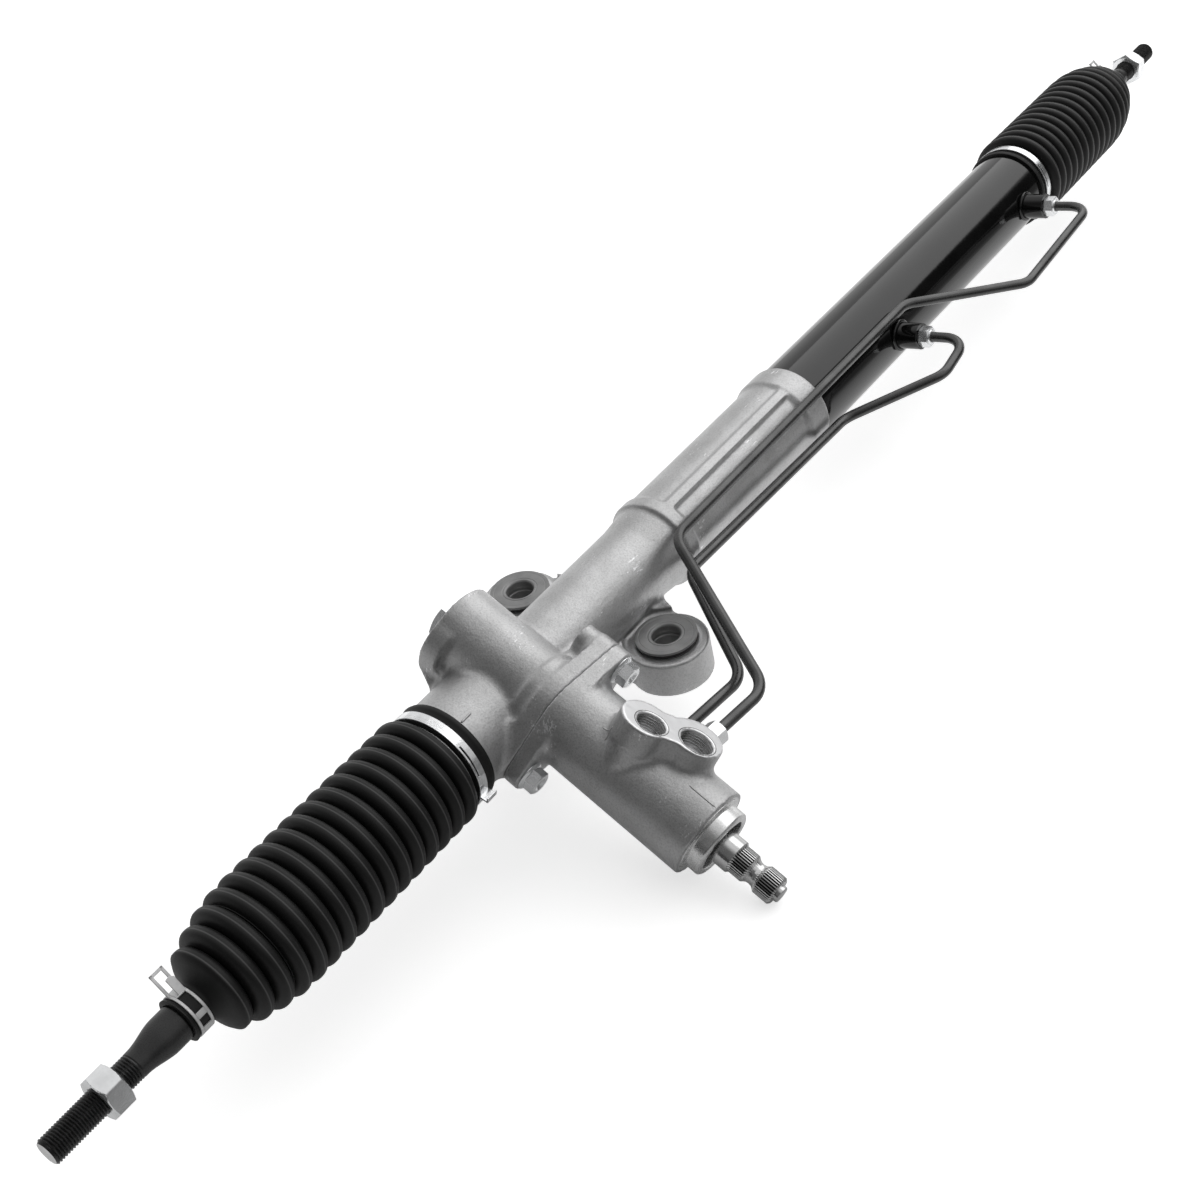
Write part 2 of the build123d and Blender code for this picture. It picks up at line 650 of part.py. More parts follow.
def snap_ring():
    start_x = OUTER_BULKHEAD_X + BULKHEAD_WIDTH
    outer_r = TUBE_BORE_R + SNAP_RING_DEPTH - FIT_GAP
    ring = ring_x(start_x, start_x + SNAP_RING_WIDTH, outer_r, TUBE_BORE_R - 2)
    gap = Pos(start_x, 0, TUBE_BORE_R) * Box(4 * SNAP_RING_WIDTH, 2 * TUBE_WALL, 4 * TUBE_WALL)
    return ring - gap


# ---------------------------------------------------------------- mounting bushes
def bush_shells():
    return [
        on_bush(y, ring_z(BOSS_BOTTOM_Z, BOSS_TOP_Z, BUSH_RUBBER_R, BUSH_RUBBER_R - BUSH_SHELL_WALL))
        for y in BUSH_CENTRES_Y
    ]


def bush_rubbers():
    """Rubber that fills the shell and stands out as a rounded lip at both ends."""
    inner_r = BUSH_BOLT_R + BUSH_SLEEVE_WALL + FIT_GAP
    outer_r = BUSH_RUBBER_R - BUSH_SHELL_WALL - FIT_GAP
    top_z = BUSH_SEAT_Z - BUSH_FLANGE_THICK
    bottom_z = BUSH_BOTTOM_Z + BUSH_FLANGE_THICK
    profile = [
        (inner_r, bottom_z), (outer_r, bottom_z), (outer_r, top_z), (inner_r, top_z),
    ]
    return [on_bush(y, turned_on_z(profile)) for y in BUSH_CENTRES_Y]


def bush_sleeves():
    """Steel sleeve for the bolt, with a round seat flange at its upper end."""
    sleeve_r = BUSH_BOLT_R + BUSH_SLEEVE_WALL
    seat_z = BUSH_SEAT_Z - BUSH_FLANGE_THICK
    profile = [
        (BUSH_BOLT_R, BUSH_BOTTOM_Z), (sleeve_r, BUSH_BOTTOM_Z), (sleeve_r, seat_z),
        (BUSH_FLANGE_R, seat_z), (BUSH_FLANGE_R, BUSH_SEAT_Z), (BUSH_BOLT_R, BUSH_SEAT_Z),
    ]
    return [on_bush(y, turned_on_z(profile)) for y in BUSH_CENTRES_Y]


# ---------------------------------------------------------------- yoke
def yoke_body():
    """Plunger hollowed to the rack's back, with a pocket for its spring."""
    body = rod_z(YOKE_FRONT, YOKE_BACK, YOKE_R)
    pocket = rod_z(YOKE_BACK - YOKE_SPRING_POCKET, YOKE_BACK, YOKE_SPRING_R + 2 * YOKE_SPRING_WIRE_R)
    hollow = rod_x(PINION_X - 2 * YOKE_R, PINION_X + 2 * YOKE_R, RACK_BAR_R + YOKE_LINER + FIT_GAP)
    return YOKE_FRAME.location * (body - pocket) - hollow


def yoke_liner():
    plug = YOKE_FRAME.location * rod_z(YOKE_FRONT, YOKE_BACK, YOKE_R - YOKE_LINER)
    reach = 2 * YOKE_R
    liner_r = RACK_BAR_R + YOKE_LINER
    shell = ring_x(PINION_X - reach, PINION_X + reach, liner_r, RACK_BAR_R + RUNNING_GAP)
    return plug & shell


def yoke_spring():
    start = YOKE_BACK - YOKE_SPRING_POCKET + YOKE_SPRING_WIRE_R
    height = YOKE_PLUG_START - YOKE_SPRING_WIRE_R - start
    pitch = height / YOKE_SPRING_TURNS
    coil = Pos(0, 0, start) * Helix(pitch=pitch, height=height, radius=YOKE_SPRING_R)
    wire = Plane(origin=coil @ 0, z_dir=coil % 0) * Circle(YOKE_SPRING_WIRE_R)
    return YOKE_FRAME.location * sweep(wire, path=coil, is_frenet=True)


def yoke_plug():
    """Threaded plug with a hexagon socket."""
    plug = rod_z(YOKE_PLUG_START, YOKE_PLUG_END, YOKE_R)
    socket = Pos(0, 0, YOKE_PLUG_END - 6) * extrude(RegularPolygon(YOKE_R / 2, 6), 7)
    return YOKE_FRAME.location * (plug - socket)


def yoke_locknut():
    nut = hex_z(YOKE_BOSS_REACH, YOKE_BOSS_REACH + LOCKNUT_THICK, LOCKNUT_HEX)
    return YOKE_FRAME.location * (nut - rod_z(0, YOKE_PLUG_END, YOKE_R + FIT_GAP))


# ---------------------------------------------------------------- pinion line
def pinion_end_cap():
    """Screwed plug with a hexagon head that closes the far end."""
    thread = rod_z(FAR_END_T, CAP_START_T, CAP_R)
    recess_r = PINION_NUT_HEX / sqrt(3) + 1
    recess = rod_z(FAR_END_T + 2, CAP_START_T, recess_r)
    return on_pinion(hex_z(CAP_HEAD_T, FAR_END_T, CAP_HEX) + thread - recess)


def bearing_middle_r():
    return (PINION_TAIL_R + BEARING_R) / 2


def ball_track():
    """Ring-shaped groove that both races share."""
    track_r = BEARING_BALL_R + RUNNING_GAP
    middle_t = (BEARING_START_T + BEARING_END_T) / 2
    return Pos(0, 0, middle_t) * Torus(bearing_middle_r(), track_r)


def pinion_bearing_outer():
    race_r = bearing_middle_r() + BEARING_BALL_R / 2
    return on_pinion(ring_z(BEARING_START_T, BEARING_END_T, BEARING_R, race_r) - ball_track())


def pinion_bearing_inner():
    race_r = bearing_middle_r() - BEARING_BALL_R / 2
    race = ring_z(BEARING_START_T, BEARING_END_T, race_r, PINION_TAIL_R + FIT_GAP)
    return on_pinion(race - ball_track())


def pinion_bearing_balls():
    middle_t = (BEARING_START_T + BEARING_END_T) / 2
    ball = Pos(bearing_middle_r(), 0, middle_t) * Sphere(BEARING_BALL_R)
    step = 360 / BALL_BEARING_BALLS
    return [on_pinion(Rot(0, 0, step * number) * ball) for number in range(BALL_BEARING_BALLS)]


def upper_bearing_cup():
    inner_r = PINION_JOURNAL_R + 2 * NEEDLE_R + 2 * RUNNING_GAP
    return on_pinion(ring_z(UPPER_BEARING_T, UPPER_BEARING_END_T, UPPER_CUP_R, inner_r))


def upper_bearing_needles():
    middle_r = PINION_JOURNAL_R + NEEDLE_R + RUNNING_GAP
    needle = Pos(middle_r, 0, 0) * rod_z(UPPER_BEARING_T + 1, UPPER_BEARING_END_T - 1, NEEDLE_R)
    step = 360 / NEEDLE_COUNT
    return [on_pinion(Rot(0, 0, step * number) * needle) for number in range(NEEDLE_COUNT)]


def involute_angle(pressure_angle):
    return tan(pressure_angle) - pressure_angle


def pinion_tooth_half_angle(radius):
    """Half the angle that one tooth fills at a radius."""
    pressure = radians(PRESSURE_ANGLE)
    base_r = PITCH_R * cos(pressure)
    half_at_pitch = (TOOTH_PITCH - TOOTH_BACKLASH) / (4 * PITCH_R)
    local = acos(min(1, base_r / radius))
    return half_at_pitch + involute_angle(pressure) - involute_angle(local)


def pinion_gear():
    """Toothed length, with involute flanks and one tooth pointing straight down at rest."""
    tip_r = PITCH_R + PINION_TOOTH_ADDENDUM
    root_r = PITCH_R - RACK_TOOTH_ADDENDUM - TOOTH_ROOT_GAP
    base_r = PITCH_R * cos(radians(PRESSURE_ANGLE))
    steps = 5
    flank_radii = [root_r] + [base_r + (tip_r - base_r) * step / steps for step in range(steps + 1)]
    outline = []
    for tooth in range(PINION_TEETH):
        middle = 2 * pi * tooth / PINION_TEETH - pi / 2
        for radius in flank_radii:
            angle = middle - pinion_tooth_half_angle(radius)
            outline.append((radius * cos(angle), radius * sin(angle)))
        for radius in reversed(flank_radii):
            angle = middle + pinion_tooth_half_angle(radius)
            outline.append((radius * cos(angle), radius * sin(angle)))
    section = make_face(Polyline(*outline, close=True))
    return Pos(0, 0, -TOOTH_FACE_HALF) * extrude(section, 2 * TOOTH_FACE_HALF)


def pinion():
    root_r = PITCH_R - RACK_TOOTH_ADDENDUM - TOOTH_ROOT_GAP
    tail_end = BEARING_START_T - PINION_NUT_THICK
    shaft = turned_on_z([
        (0, tail_end),
        (PINION_TAIL_R, tail_end),
        (PINION_TAIL_R, BEARING_END_T),
        (PINION_TAIL_R + 2, BEARING_END_T),
        (root_r, -TOOTH_FACE_HALF),
        (root_r, TOOTH_FACE_HALF),
        (PINION_JOURNAL_R, TOOTH_FACE_HALF),
        (PINION_JOURNAL_R, PARTING_T + 2),
        (PINION_HEAD_R, PARTING_T + 8),
        (PINION_HEAD_R, SLEEVE_START_T),
        (0, SLEEVE_START_T),
    ])
    nose_seat = rod_z(PARTING_T, SLEEVE_START_T, SPOOL_NOSE_R + RUNNING_GAP)
    bar_seat = rod_z(-TOOTH_FACE_HALF / 2, PARTING_T, TORSION_HEAD_R + FIT_GAP)
    return on_pinion(shaft + pinion_gear() - nose_seat - bar_seat)


def pinion_nut():
    nut = hex_z(BEARING_START_T - PINION_NUT_THICK, BEARING_START_T, PINION_NUT_HEX)
    return on_pinion(nut - rod_z(FAR_END_T, BEARING_END_T, PINION_TAIL_R + FIT_GAP))


def torsion_bar():
    """Slim bar with a thicker head at each end; it twists between the pinion and the shaft."""
    head_length = TOOTH_FACE_HALF / 2
    top = INPUT_SEAL_T
    return on_pinion(turned_on_z([
        (0, -head_length),
        (TORSION_HEAD_R, -head_length),
        (TORSION_HEAD_R, head_length),
        (TORSION_BAR_R, head_length + 2),
        (TORSION_BAR_R, top - head_length - 2),
        (TORSION_HEAD_R, top - head_length),
        (TORSION_HEAD_R, top),
        (0, top),
    ]))


def sleeve_groove_stations():
    step = (SLEEVE_END_T - SLEEVE_START_T) / SEAL_RING_COUNT
    return [SLEEVE_START_T + step * (number + 0.5) for number in range(SEAL_RING_COUNT)]


def valve_sleeve():
    """Sleeve round the spool, with a groove for each seal ring and an oil band between them."""
    sleeve = ring_z(SLEEVE_START_T, SLEEVE_END_T, SLEEVE_R, SLEEVE_BORE_R)
    groove_r = SLEEVE_R - SEAL_RING_GROOVE
    groove_half = SEAL_RING_WIDTH / 2 + FIT_GAP
    band_half = 2 * SEAL_RING_WIDTH
    stations = sleeve_groove_stations()
    for station in stations:
        sleeve -= ring_z(station - groove_half, station + groove_half, SLEEVE_R + 1, groove_r)
    for lower, upper in zip(stations[:-1], stations[1:]):
        middle = (lower + upper) / 2
        sleeve -= ring_z(middle - band_half, middle + band_half, SLEEVE_R + 1, groove_r)
        sleeve -= Pos(0, 0, middle) * Rot(0, 90, 0) * Cylinder(SEAL_RING_WIDTH, 3 * SLEEVE_R)
    return on_pinion(sleeve)


def valve_seal_rings():
    inner_r = SLEEVE_R - SEAL_RING_GROOVE + FIT_GAP
    half = SEAL_RING_WIDTH / 2
    rings = []
    for station in sleeve_groove_stations():
        rings.append(on_pinion(ring_z(station - half, station + half, SLEEVE_R, inner_r)))
    return rings


def input_shaft():
    """Shaft with the steering column's splines, a spool and a nose that turns in the pinion."""
    bore_r = TORSION_HEAD_R + RUNNING_GAP
    shaft = turned_on_z([
        (bore_r, PARTING_T + 1),
        (SPOOL_NOSE_R, PARTING_T + 1),
        (SPOOL_NOSE_R, SLEEVE_START_T + 2),
        (SPOOL_R, SLEEVE_START_T + 2),
        (SPOOL_R, SLEEVE_END_T),
        (SHAFT_R, SLEEVE_END_T),
        (SHAFT_R, SHAFT_SHOULDER_T),
        (SPLINE_R, SPLINE_START_T),
        (SPLINE_R, SPLINE_GROOVE_T),
        (SPLINE_NECK_R, SPLINE_GROOVE_T + 3),
        (SPLINE_NECK_R, SPLINE_RESTART_T - 3),
        (SPLINE_R, SPLINE_RESTART_T),
        (SPLINE_R, SPLINE_END_T - 1),
        (SPLINE_R - 1, SPLINE_END_T),
        (SHAFT_TIP_R, SPLINE_END_T),
        (SHAFT_TIP_R, SHAFT_TIP_T),
        (0, SHAFT_TIP_T),
        (0, INPUT_SEAL_T + 1),
        (bore_r, INPUT_SEAL_T + 1),
    ])
    return on_pinion(shaft)


def input_bearing():
    end_t = INPUT_BEARING_T + BEARING_WIDTH
    return on_pinion(ring_z(INPUT_BEARING_T, end_t, SLEEVE_R, SHAFT_R + RUNNING_GAP))


def lip_seal(start_t, width):
    outer_r = RETAINER_HOLE_R - FIT_GAP
    return on_pinion(ring_z(start_t, start_t + width, outer_r, SHAFT_R + RUNNING_GAP))


def retaining_ring():
    """Screwed ring that closes the valve housing round the input shaft."""
    ring = turned_on_z([
        (RETAINER_HOLE_R, RETAINER_START_T),
        (RETAINER_THREAD_R, RETAINER_START_T),
        (RETAINER_THREAD_R, VALVE_END_T),
        (RETAINER_R, VALVE_END_T),
        (RETAINER_R, RETAINER_END_T - 1),
        (RETAINER_R - 1, RETAINER_END_T),
        (RETAINER_HOLE_R, RETAINER_END_T),
    ])
    return on_pinion(ring)


# ---------------------------------------------------------------- valve housing
def port_places():
    """Each hose port's distance along, distance sideways and radius, in the port frame."""
    return (
        (RETURN_PORT_T, -RETURN_PORT_SIDE, RETURN_PORT_R),
        (PRESSURE_PORT_T, -PRESSURE_PORT_SIDE, PRESSURE_PORT_R),
    )


def line_places():
    return ((RIGHT_LINE_T, RIGHT_LINE_HEIGHT), (LEFT_LINE_T, LEFT_LINE_HEIGHT))


def lobe_circles(return_r, pressure_r):
    """One circle round each hose port, in the port frame."""
    circles = []
    shifts = (RETURN_LOBE_SHIFT, PRESSURE_LOBE_SHIFT)
    for place, shift, radius in zip(port_places(), shifts, (return_r, pressure_r)):
        circles.append(Pos(place[0] + shift[0], place[1] - shift[1]) * Circle(radius))
    return circles


def stadium(circles):
    return make_hull(circles[0].edges() + circles[1].edges())


def port_plate():
    """Machined plate with a lobe round each hose port and a waist between them."""
    lobes = lobe_circles(RETURN_LOBE_R, PRESSURE_LOBE_R)
    outline = lobes[0] + lobes[1] + stadium(lobe_circles(PORT_WAIST, PORT_WAIST))
    return on_port(Pos(0, 0, PORT_FACE - PORT_PLATE_THICK) * extrude(outline, PORT_PLATE_THICK))


def port_stem():
    """What carries the port plate: a slim block, and a domed column under the return port."""
    stem_end = PORT_FACE - PORT_PLATE_THICK
    circles = lobe_circles(RETURN_STEM_R, PRESSURE_STEM_R)
    foot = RETURN_STEM_R / 2
    dome = Pos(circles[0].center()) * Pos(0, 0, foot) * Sphere(RETURN_STEM_R)
    column = Pos(0, 0, foot) * extrude(circles[0], stem_end - foot)
    return on_port(extrude(stadium(circles), stem_end) + column + dome)


def valve_housing():
    bolt_hole = rod_z(PARTING_T - 1, VALVE_FLANGE_T + 1, FLANGE_BOLT_R + FIT_GAP)
    body = on_pinion(rod_z(PARTING_T, VALVE_END_T, VALVE_BODY_R))
    body += on_pinion(Pos(0, 0, PARTING_T) * extrude(flange_outline(), FLANGE_THICK))
    body += port_stem()
    body += port_plate()
    for along, height in line_places():
        body += on_line(along, height, rod_z(0, PIPE_BOSS_REACH, PIPE_BOSS_R))
    body -= valve_bore()
    for along, side, radius in port_places():
        body -= on_port(Pos(along, side, 0) * rod_z(PORT_FACE - PORT_DEPTH, PORT_FACE + 1, radius))
        body -= on_port(Pos(along, side, 0) * rod_z(0, PORT_FACE, PORT_PASSAGE_R))
    for along, height in line_places():
        body -= on_line(along, height, line_bore())
    for place in flange_bolt_places():
        body -= on_pinion(place * bolt_hole)
    body -= on_pinion(o_ring_shape(FIT_GAP))
    return body


def valve_bore():
    return on_pinion(turned_on_z([
        (0, PARTING_T - 1),
        (PINION_HEAD_R + 1, PARTING_T - 1),
        (PINION_HEAD_R + 1, SLEEVE_START_T - 1),
        (VALVE_BORE_R, SLEEVE_START_T - 1),
        (VALVE_BORE_R, RETAINER_START_T),
        (RETAINER_THREAD_R + FIT_GAP, RETAINER_START_T),
        (RETAINER_THREAD_R + FIT_GAP, VALVE_END_T + 1),
        (0, VALVE_END_T + 1),
    ]))


def line_bore():
    seat = PIPE_BOSS_REACH - PIPE_INSERTION - 1
    return turned_on_z([
        (0, VALVE_BORE_R / 2), (PIPE_BORE_R, VALVE_BORE_R / 2), (PIPE_BORE_R, seat),
        (PIPE_NUT_THREAD_R + FIT_GAP, seat), (PIPE_NUT_THREAD_R + FIT_GAP, PIPE_BOSS_REACH + 1),
        (0, PIPE_BOSS_REACH + 1),
    ])


def o_ring_shape(room):
    inner_r = O_RING_R - O_RING_THICK / 2 - room
    outer_r = O_RING_R + O_RING_THICK / 2 + room
    return ring_z(PARTING_T, PARTING_T + O_RING_THICK + room, outer_r, inner_r)


def flange_o_ring():
    return on_pinion(o_ring_shape(0))


def flange_bolts():
    """Flanged hexagon bolts that hold the valve housing on the rack housing."""
    bolt = rod_z(PARTING_T - FLANGE_THICK, VALVE_FLANGE_T, FLANGE_BOLT_R)
    collar_end = VALVE_FLANGE_T + FLANGE_BOLT_COLLAR
    bolt += rod_z(VALVE_FLANGE_T, collar_end, FLANGE_BOLT_COLLAR_R)
    bolt += hex_z(collar_end - 0.5, collar_end + FLANGE_BOLT_HEAD, FLANGE_BOLT_HEX)
    return [on_pinion(place * bolt) for place in flange_bolt_places()]


# ---------------------------------------------------------------- pipes
def line_point(along, height, reach):
    """A point in front of one of the valve housing's pipe connections."""
    return PINION_ORIGIN + ACROSS * reach + UP * height + ALONG * along


def tube_port_point(port_x, reach):
    return Vector(port_x, 0, 0) + TUBE_PORT_DIRECTION * reach


def bent_pipe(points):
    """Hollow pipe along straight runs joined by bends."""
    path = FilletPolyline(*points, radius=PIPE_BEND_R)
    end = Plane(origin=path @ 0, z_dir=path % 0)
    outside = sweep(end * Circle(PIPE_R), path=path)
    inside = sweep(end * Circle(PIPE_BORE_R), path=path)
    return outside - inside


def right_line_pipe():
    """Pipe from the valve housing to the outer tube port."""
    return bent_pipe([
        line_point(RIGHT_LINE_T, RIGHT_LINE_HEIGHT, PIPE_BOSS_REACH - PIPE_INSERTION),
        line_point(RIGHT_LINE_T, RIGHT_LINE_HEIGHT, RIGHT_LINE_BEND),
        Vector(RIGHT_RUN_START_X, RIGHT_RUN_Y, RIGHT_RUN_Z),
        Vector(INNER_PORT_X + RIGHT_RUN_PAST_PORT, RIGHT_RUN_Y, RIGHT_RUN_Z),
        Vector(OUTER_PORT_X - RIGHT_CROSS_REACH, RIGHT_CROSS_Y, RIGHT_CROSS_Z),
        tube_port_point(OUTER_PORT_X, PIPE_CORNER_REACH),
        tube_port_point(OUTER_PORT_X, TUBE_BOSS_REACH - PIPE_INSERTION),
    ])


def left_line_pipe():
    """Pipe from the valve housing to the inner tube port."""
    return bent_pipe([
        line_point(LEFT_LINE_T, LEFT_LINE_HEIGHT, PIPE_BOSS_REACH - PIPE_INSERTION),
        line_point(LEFT_LINE_T, LEFT_LINE_HEIGHT, LEFT_LINE_BEND),
        Vector(LEFT_RUN_START_X, LEFT_RUN_Y, LEFT_RUN_START_Z),
        Vector(END_RIM_X + LEFT_RUN_PAST_RIM, LEFT_RUN_Y, LEFT_RUN_END_Z),
        Vector(INNER_PORT_X - LEFT_CROSS_REACH, LEFT_CROSS_Y, LEFT_CROSS_Z),
        tube_port_point(INNER_PORT_X, PIPE_CORNER_REACH),
        tube_port_point(INNER_PORT_X, TUBE_BOSS_REACH - PIPE_INSERTION),
    ])


def pipe_nut(seat, head_length):
    """Hexagon nut with a threaded nose, drawn about Z with its head on the seat plane."""
    nut = hex_z(seat, seat + head_length, PIPE_NUT_HEX)
    nut += rod_z(seat - PIPE_INSERTION, seat, PIPE_NUT_THREAD_R)
    return nut - rod_z(seat - PIPE_INSERTION - 1, seat + head_length + 1, PIPE_R + FIT_GAP)


def valve_pipe_nuts():
    nut = pipe_nut(PIPE_BOSS_REACH, VALVE_NUT_LENGTH)
    return [on_line(along, height, nut) for along, height in line_places()]


def tube_pipe_nuts():
    nut = pipe_nut(TUBE_BOSS_REACH, TUBE_NUT_LENGTH)
    return [on_tube_port(port_x, nut) for port_x in (INNER_PORT_X, OUTER_PORT_X)]


# ---------------------------------------------------------------- rack bar
def rack_teeth_spaces():
    """Everything that is milled off the bar: a flat and the spaces between the teeth."""
    tooth_top = RACK_PITCH_HEIGHT + RACK_TOOTH_ADDENDUM
    tooth_root = RACK_PITCH_HEIGHT - PINION_TOOTH_ADDENDUM - TOOTH_ROOT_GAP
    slope = tan(radians(PRESSURE_ANGLE))
    half_width = (TOOTH_PITCH + TOOTH_BACKLASH) / 4
    above = RACK_BAR_R + 1
    bottom_half = half_width + (tooth_root - RACK_PITCH_HEIGHT) * slope
    top_half = half_width + (above - RACK_PITCH_HEIGHT) * slope
    frame = Plane(origin=Vector(PINION_X, 0, 0), x_dir=ACROSS, z_dir=ALONG)
    section = make_face(Polyline(
        (-bottom_half, tooth_root), (bottom_half, tooth_root), (top_half, above), (-top_half, above),
        close=True,
    ))
    space = extrude(section, 4 * RACK_BAR_R)
    count = int((RACK_TRAVEL + PITCH_R) / TOOTH_PITCH) + 1
    pitch_x = TOOTH_PITCH / cos(skew)
    seated = frame.location * Pos(0, 0, -2 * RACK_BAR_R) * space
    spaces = [Pos(pitch_x * number, 0, 0) * seated for number in range(-count, count + 1)]
    flat_length = 2 * pitch_x * (count + 1)
    flat = Pos(0, tooth_top + RACK_BAR_R / 2, 0) * Box(flat_length, RACK_BAR_R, 4 * RACK_BAR_R)
    return spaces + [frame.location * flat]


def rack_bar():
    bar = turned_on_x([
        (LEFT_SHOULDER_X - RACK_STUD_LENGTH, 0),
        (LEFT_SHOULDER_X - RACK_STUD_LENGTH, RACK_STUD_R),
        (LEFT_SHOULDER_X, RACK_STUD_R),
        (LEFT_SHOULDER_X, RACK_BAR_R),
        (RIGHT_SHOULDER_X, RACK_BAR_R),
        (RIGHT_SHOULDER_X, RACK_STUD_R),
        (RIGHT_SHOULDER_X + RACK_STUD_LENGTH, RACK_STUD_R),
        (RIGHT_SHOULDER_X + RACK_STUD_LENGTH, 0),
    ])
    for cut in rack_teeth_spaces():
        bar -= cut
    return bar


def piston():
    """Piston pressed on the rack, with a groove for its ring."""
    half = PISTON_WIDTH / 2
    body = ring_x(PISTON_X - half, PISTON_X + half, TUBE_BORE_R - RUNNING_GAP, RACK_BAR_R + FIT_GAP)
    groove_half = PISTON_RING_WIDTH / 2 + FIT_GAP
    groove_r = TUBE_BORE_R - PISTON_RING_DEPTH
    return body - ring_x(PISTON_X - groove_half, PISTON_X + groove_half, TUBE_BORE_R, groove_r)


def piston_ring():
    half = PISTON_RING_WIDTH / 2
    inner_r = TUBE_BORE_R - PISTON_RING_DEPTH + FIT_GAP
    return ring_x(PISTON_X - half, PISTON_X + half, TUBE_BORE_R - RUNNING_GAP, inner_r)


# ---------------------------------------------------------------- inner ball joints, drawn about Z
def socket_shape():
    """Socket that screws on the rack's stud and holds the ball; its mouth points along +Z."""
    edge = SOCKET_R - SOCKET_MOUTH_R
    body = turned_on_z([
        (0, -SOCKET_BASE), (SOCKET_R - 1, -SOCKET_BASE), (SOCKET_R, 1 - SOCKET_BASE),
        (SOCKET_R, SOCKET_MOUTH - 1.5 * edge), (SOCKET_MOUTH_R, SOCKET_MOUTH), (0, SOCKET_MOUTH),
    ])
    stud_end = RACK_STUD_LENGTH - LOCK_WASHER_THICK - SOCKET_BASE
    stud_hole = rod_z(-SOCKET_BASE, stud_end, RACK_STUD_R + FIT_GAP)
    return body - Sphere(BALL_R + BALL_SEAT_WALL + FIT_GAP) - stud_hole


def ball_seat_shape():
    cut_size = 4 * BALL_R
    mouth = Pos(0, 0, BALL_SEAT_MOUTH + cut_size / 2) * Box(cut_size, cut_size, cut_size)
    return Sphere(BALL_R + BALL_SEAT_WALL) - Sphere(BALL_R + RUNNING_GAP) - mouth


def jam_nut_span(reach):
    """Where a jam nut starts and ends along its rod."""
    nut_middle = TIE_ROD_LENGTH - reach
    return nut_middle - JAM_NUT_THICK / 2, nut_middle + JAM_NUT_THICK / 2


def tie_rod_shape(taper_end, groove_start, nut_reach):
    """Ball, neck, boot groove, shank, taper and threaded end, at pitch radius inside the jam nut."""
    groove_end = groove_start + GROOVE_WIDTH
    nut_start, nut_end = jam_nut_span(nut_reach)
    rod = turned_on_z([
        (0, 0),
        (ROD_NECK_R, 0),
        (ROD_NECK_R, ROD_NECK_LENGTH),
        (ROD_R, ROD_NECK_LENGTH + 6),
        (ROD_R, TIE_ROD_LENGTH - groove_end),
        (GROOVE_R, TIE_ROD_LENGTH - groove_end),
        (GROOVE_R, TIE_ROD_LENGTH - groove_start),
        (SHANK_R, TIE_ROD_LENGTH - groove_start),
        (SHANK_R, TIE_ROD_LENGTH - taper_end),
        (THREAD_R, TIE_ROD_LENGTH - THREAD_LENGTH),
        (THREAD_R, nut_start - FIT_GAP),
        (THREAD_PITCH_R, nut_start - FIT_GAP),
        (THREAD_PITCH_R, nut_end + FIT_GAP),
        (THREAD_R, nut_end + FIT_GAP),
        (THREAD_R, TIE_ROD_LENGTH - THREAD_CHAMFER),
        (THREAD_R - THREAD_CHAMFER, TIE_ROD_LENGTH),
        (0, TIE_ROD_LENGTH),
    ])
    return rod + Sphere(BALL_R)


def lock_washers():
    start_x = LEFT_SHOULDER_X - LOCK_WASHER_THICK
    inner_r = RACK_STUD_R + FIT_GAP
    left = ring_x(start_x, LEFT_SHOULDER_X, LOCK_WASHER_R, inner_r)
    right = ring_x(RIGHT_SHOULDER_X, RIGHT_SHOULDER_X + LOCK_WASHER_THICK, LOCK_WASHER_R, inner_r)
    return [left, right]


def jam_nut_shape(reach):
    nut_start, nut_end = jam_nut_span(reach)
    nut = hex_z(nut_start, nut_end, JAM_NUT_HEX)
    return nut - rod_z(0, TIE_ROD_LENGTH, THREAD_PITCH_R + FIT_GAP)


# ---------------------------------------------------------------- boots
def ridge_radius(number):
    """Ridges keep one size, then shrink faster and faster towards the small cuff."""
    past = max(0, number - (BOOT_RIDGES - BOOT_SHRINK_RIDGES)) / BOOT_SHRINK_RIDGES
    return BOOT_RIDGE_R - BOOT_SHRINK * past ** 2


def boot(large_clamp_x, small_clamp_x, neck_r):
    """Bellows: a large cuff, its ridges, and a small cuff, as one folded skin."""
    side = 1 if small_clamp_x > large_clamp_x else -1
    length = abs(small_clamp_x - large_clamp_x)
    pitch = (length - BOOT_FIRST_RIDGE - BOOT_LAST_RIDGE) / (BOOT_RIDGES - 1)
    cuff_r = neck_r + FIT_GAP
    small_r = GROOVE_R + FIT_GAP
    small_start = length - SMALL_CUFF_WIDTH / 2
    small_end = length + SMALL_CUFF_WIDTH / 2
    outside = [(-LARGE_CUFF_LIP, cuff_r + BOOT_CUFF_WALL), (LARGE_CUFF_INNER, cuff_r + BOOT_CUFF_WALL)]
    inside = [(-LARGE_CUFF_LIP, cuff_r), (LARGE_CUFF_INNER + 2, cuff_r)]
    for number in range(1, BOOT_RIDGES + 1):
        ridge = BOOT_FIRST_RIDGE + pitch * (number - 1)
        radius = ridge_radius(number)
        outside.append((ridge, radius))
        inside.append((ridge, radius - BOOT_WALL))
        if number < BOOT_RIDGES:
            fold_r = (radius + ridge_radius(number + 1)) / 2 - BOOT_FOLD
            outside.append((ridge + pitch / 2, fold_r))
            inside.append((ridge + pitch / 2, fold_r - BOOT_WALL))
    outside += [(small_start, small_r + SMALL_CUFF_WALL), (small_end, small_r + SMALL_CUFF_WALL)]
    inside += [(small_start, small_r), (small_end, small_r)]
    skin = outside + inside[::-1]
    return turned_on_x([(large_clamp_x + side * distance, radius) for distance, radius in skin])


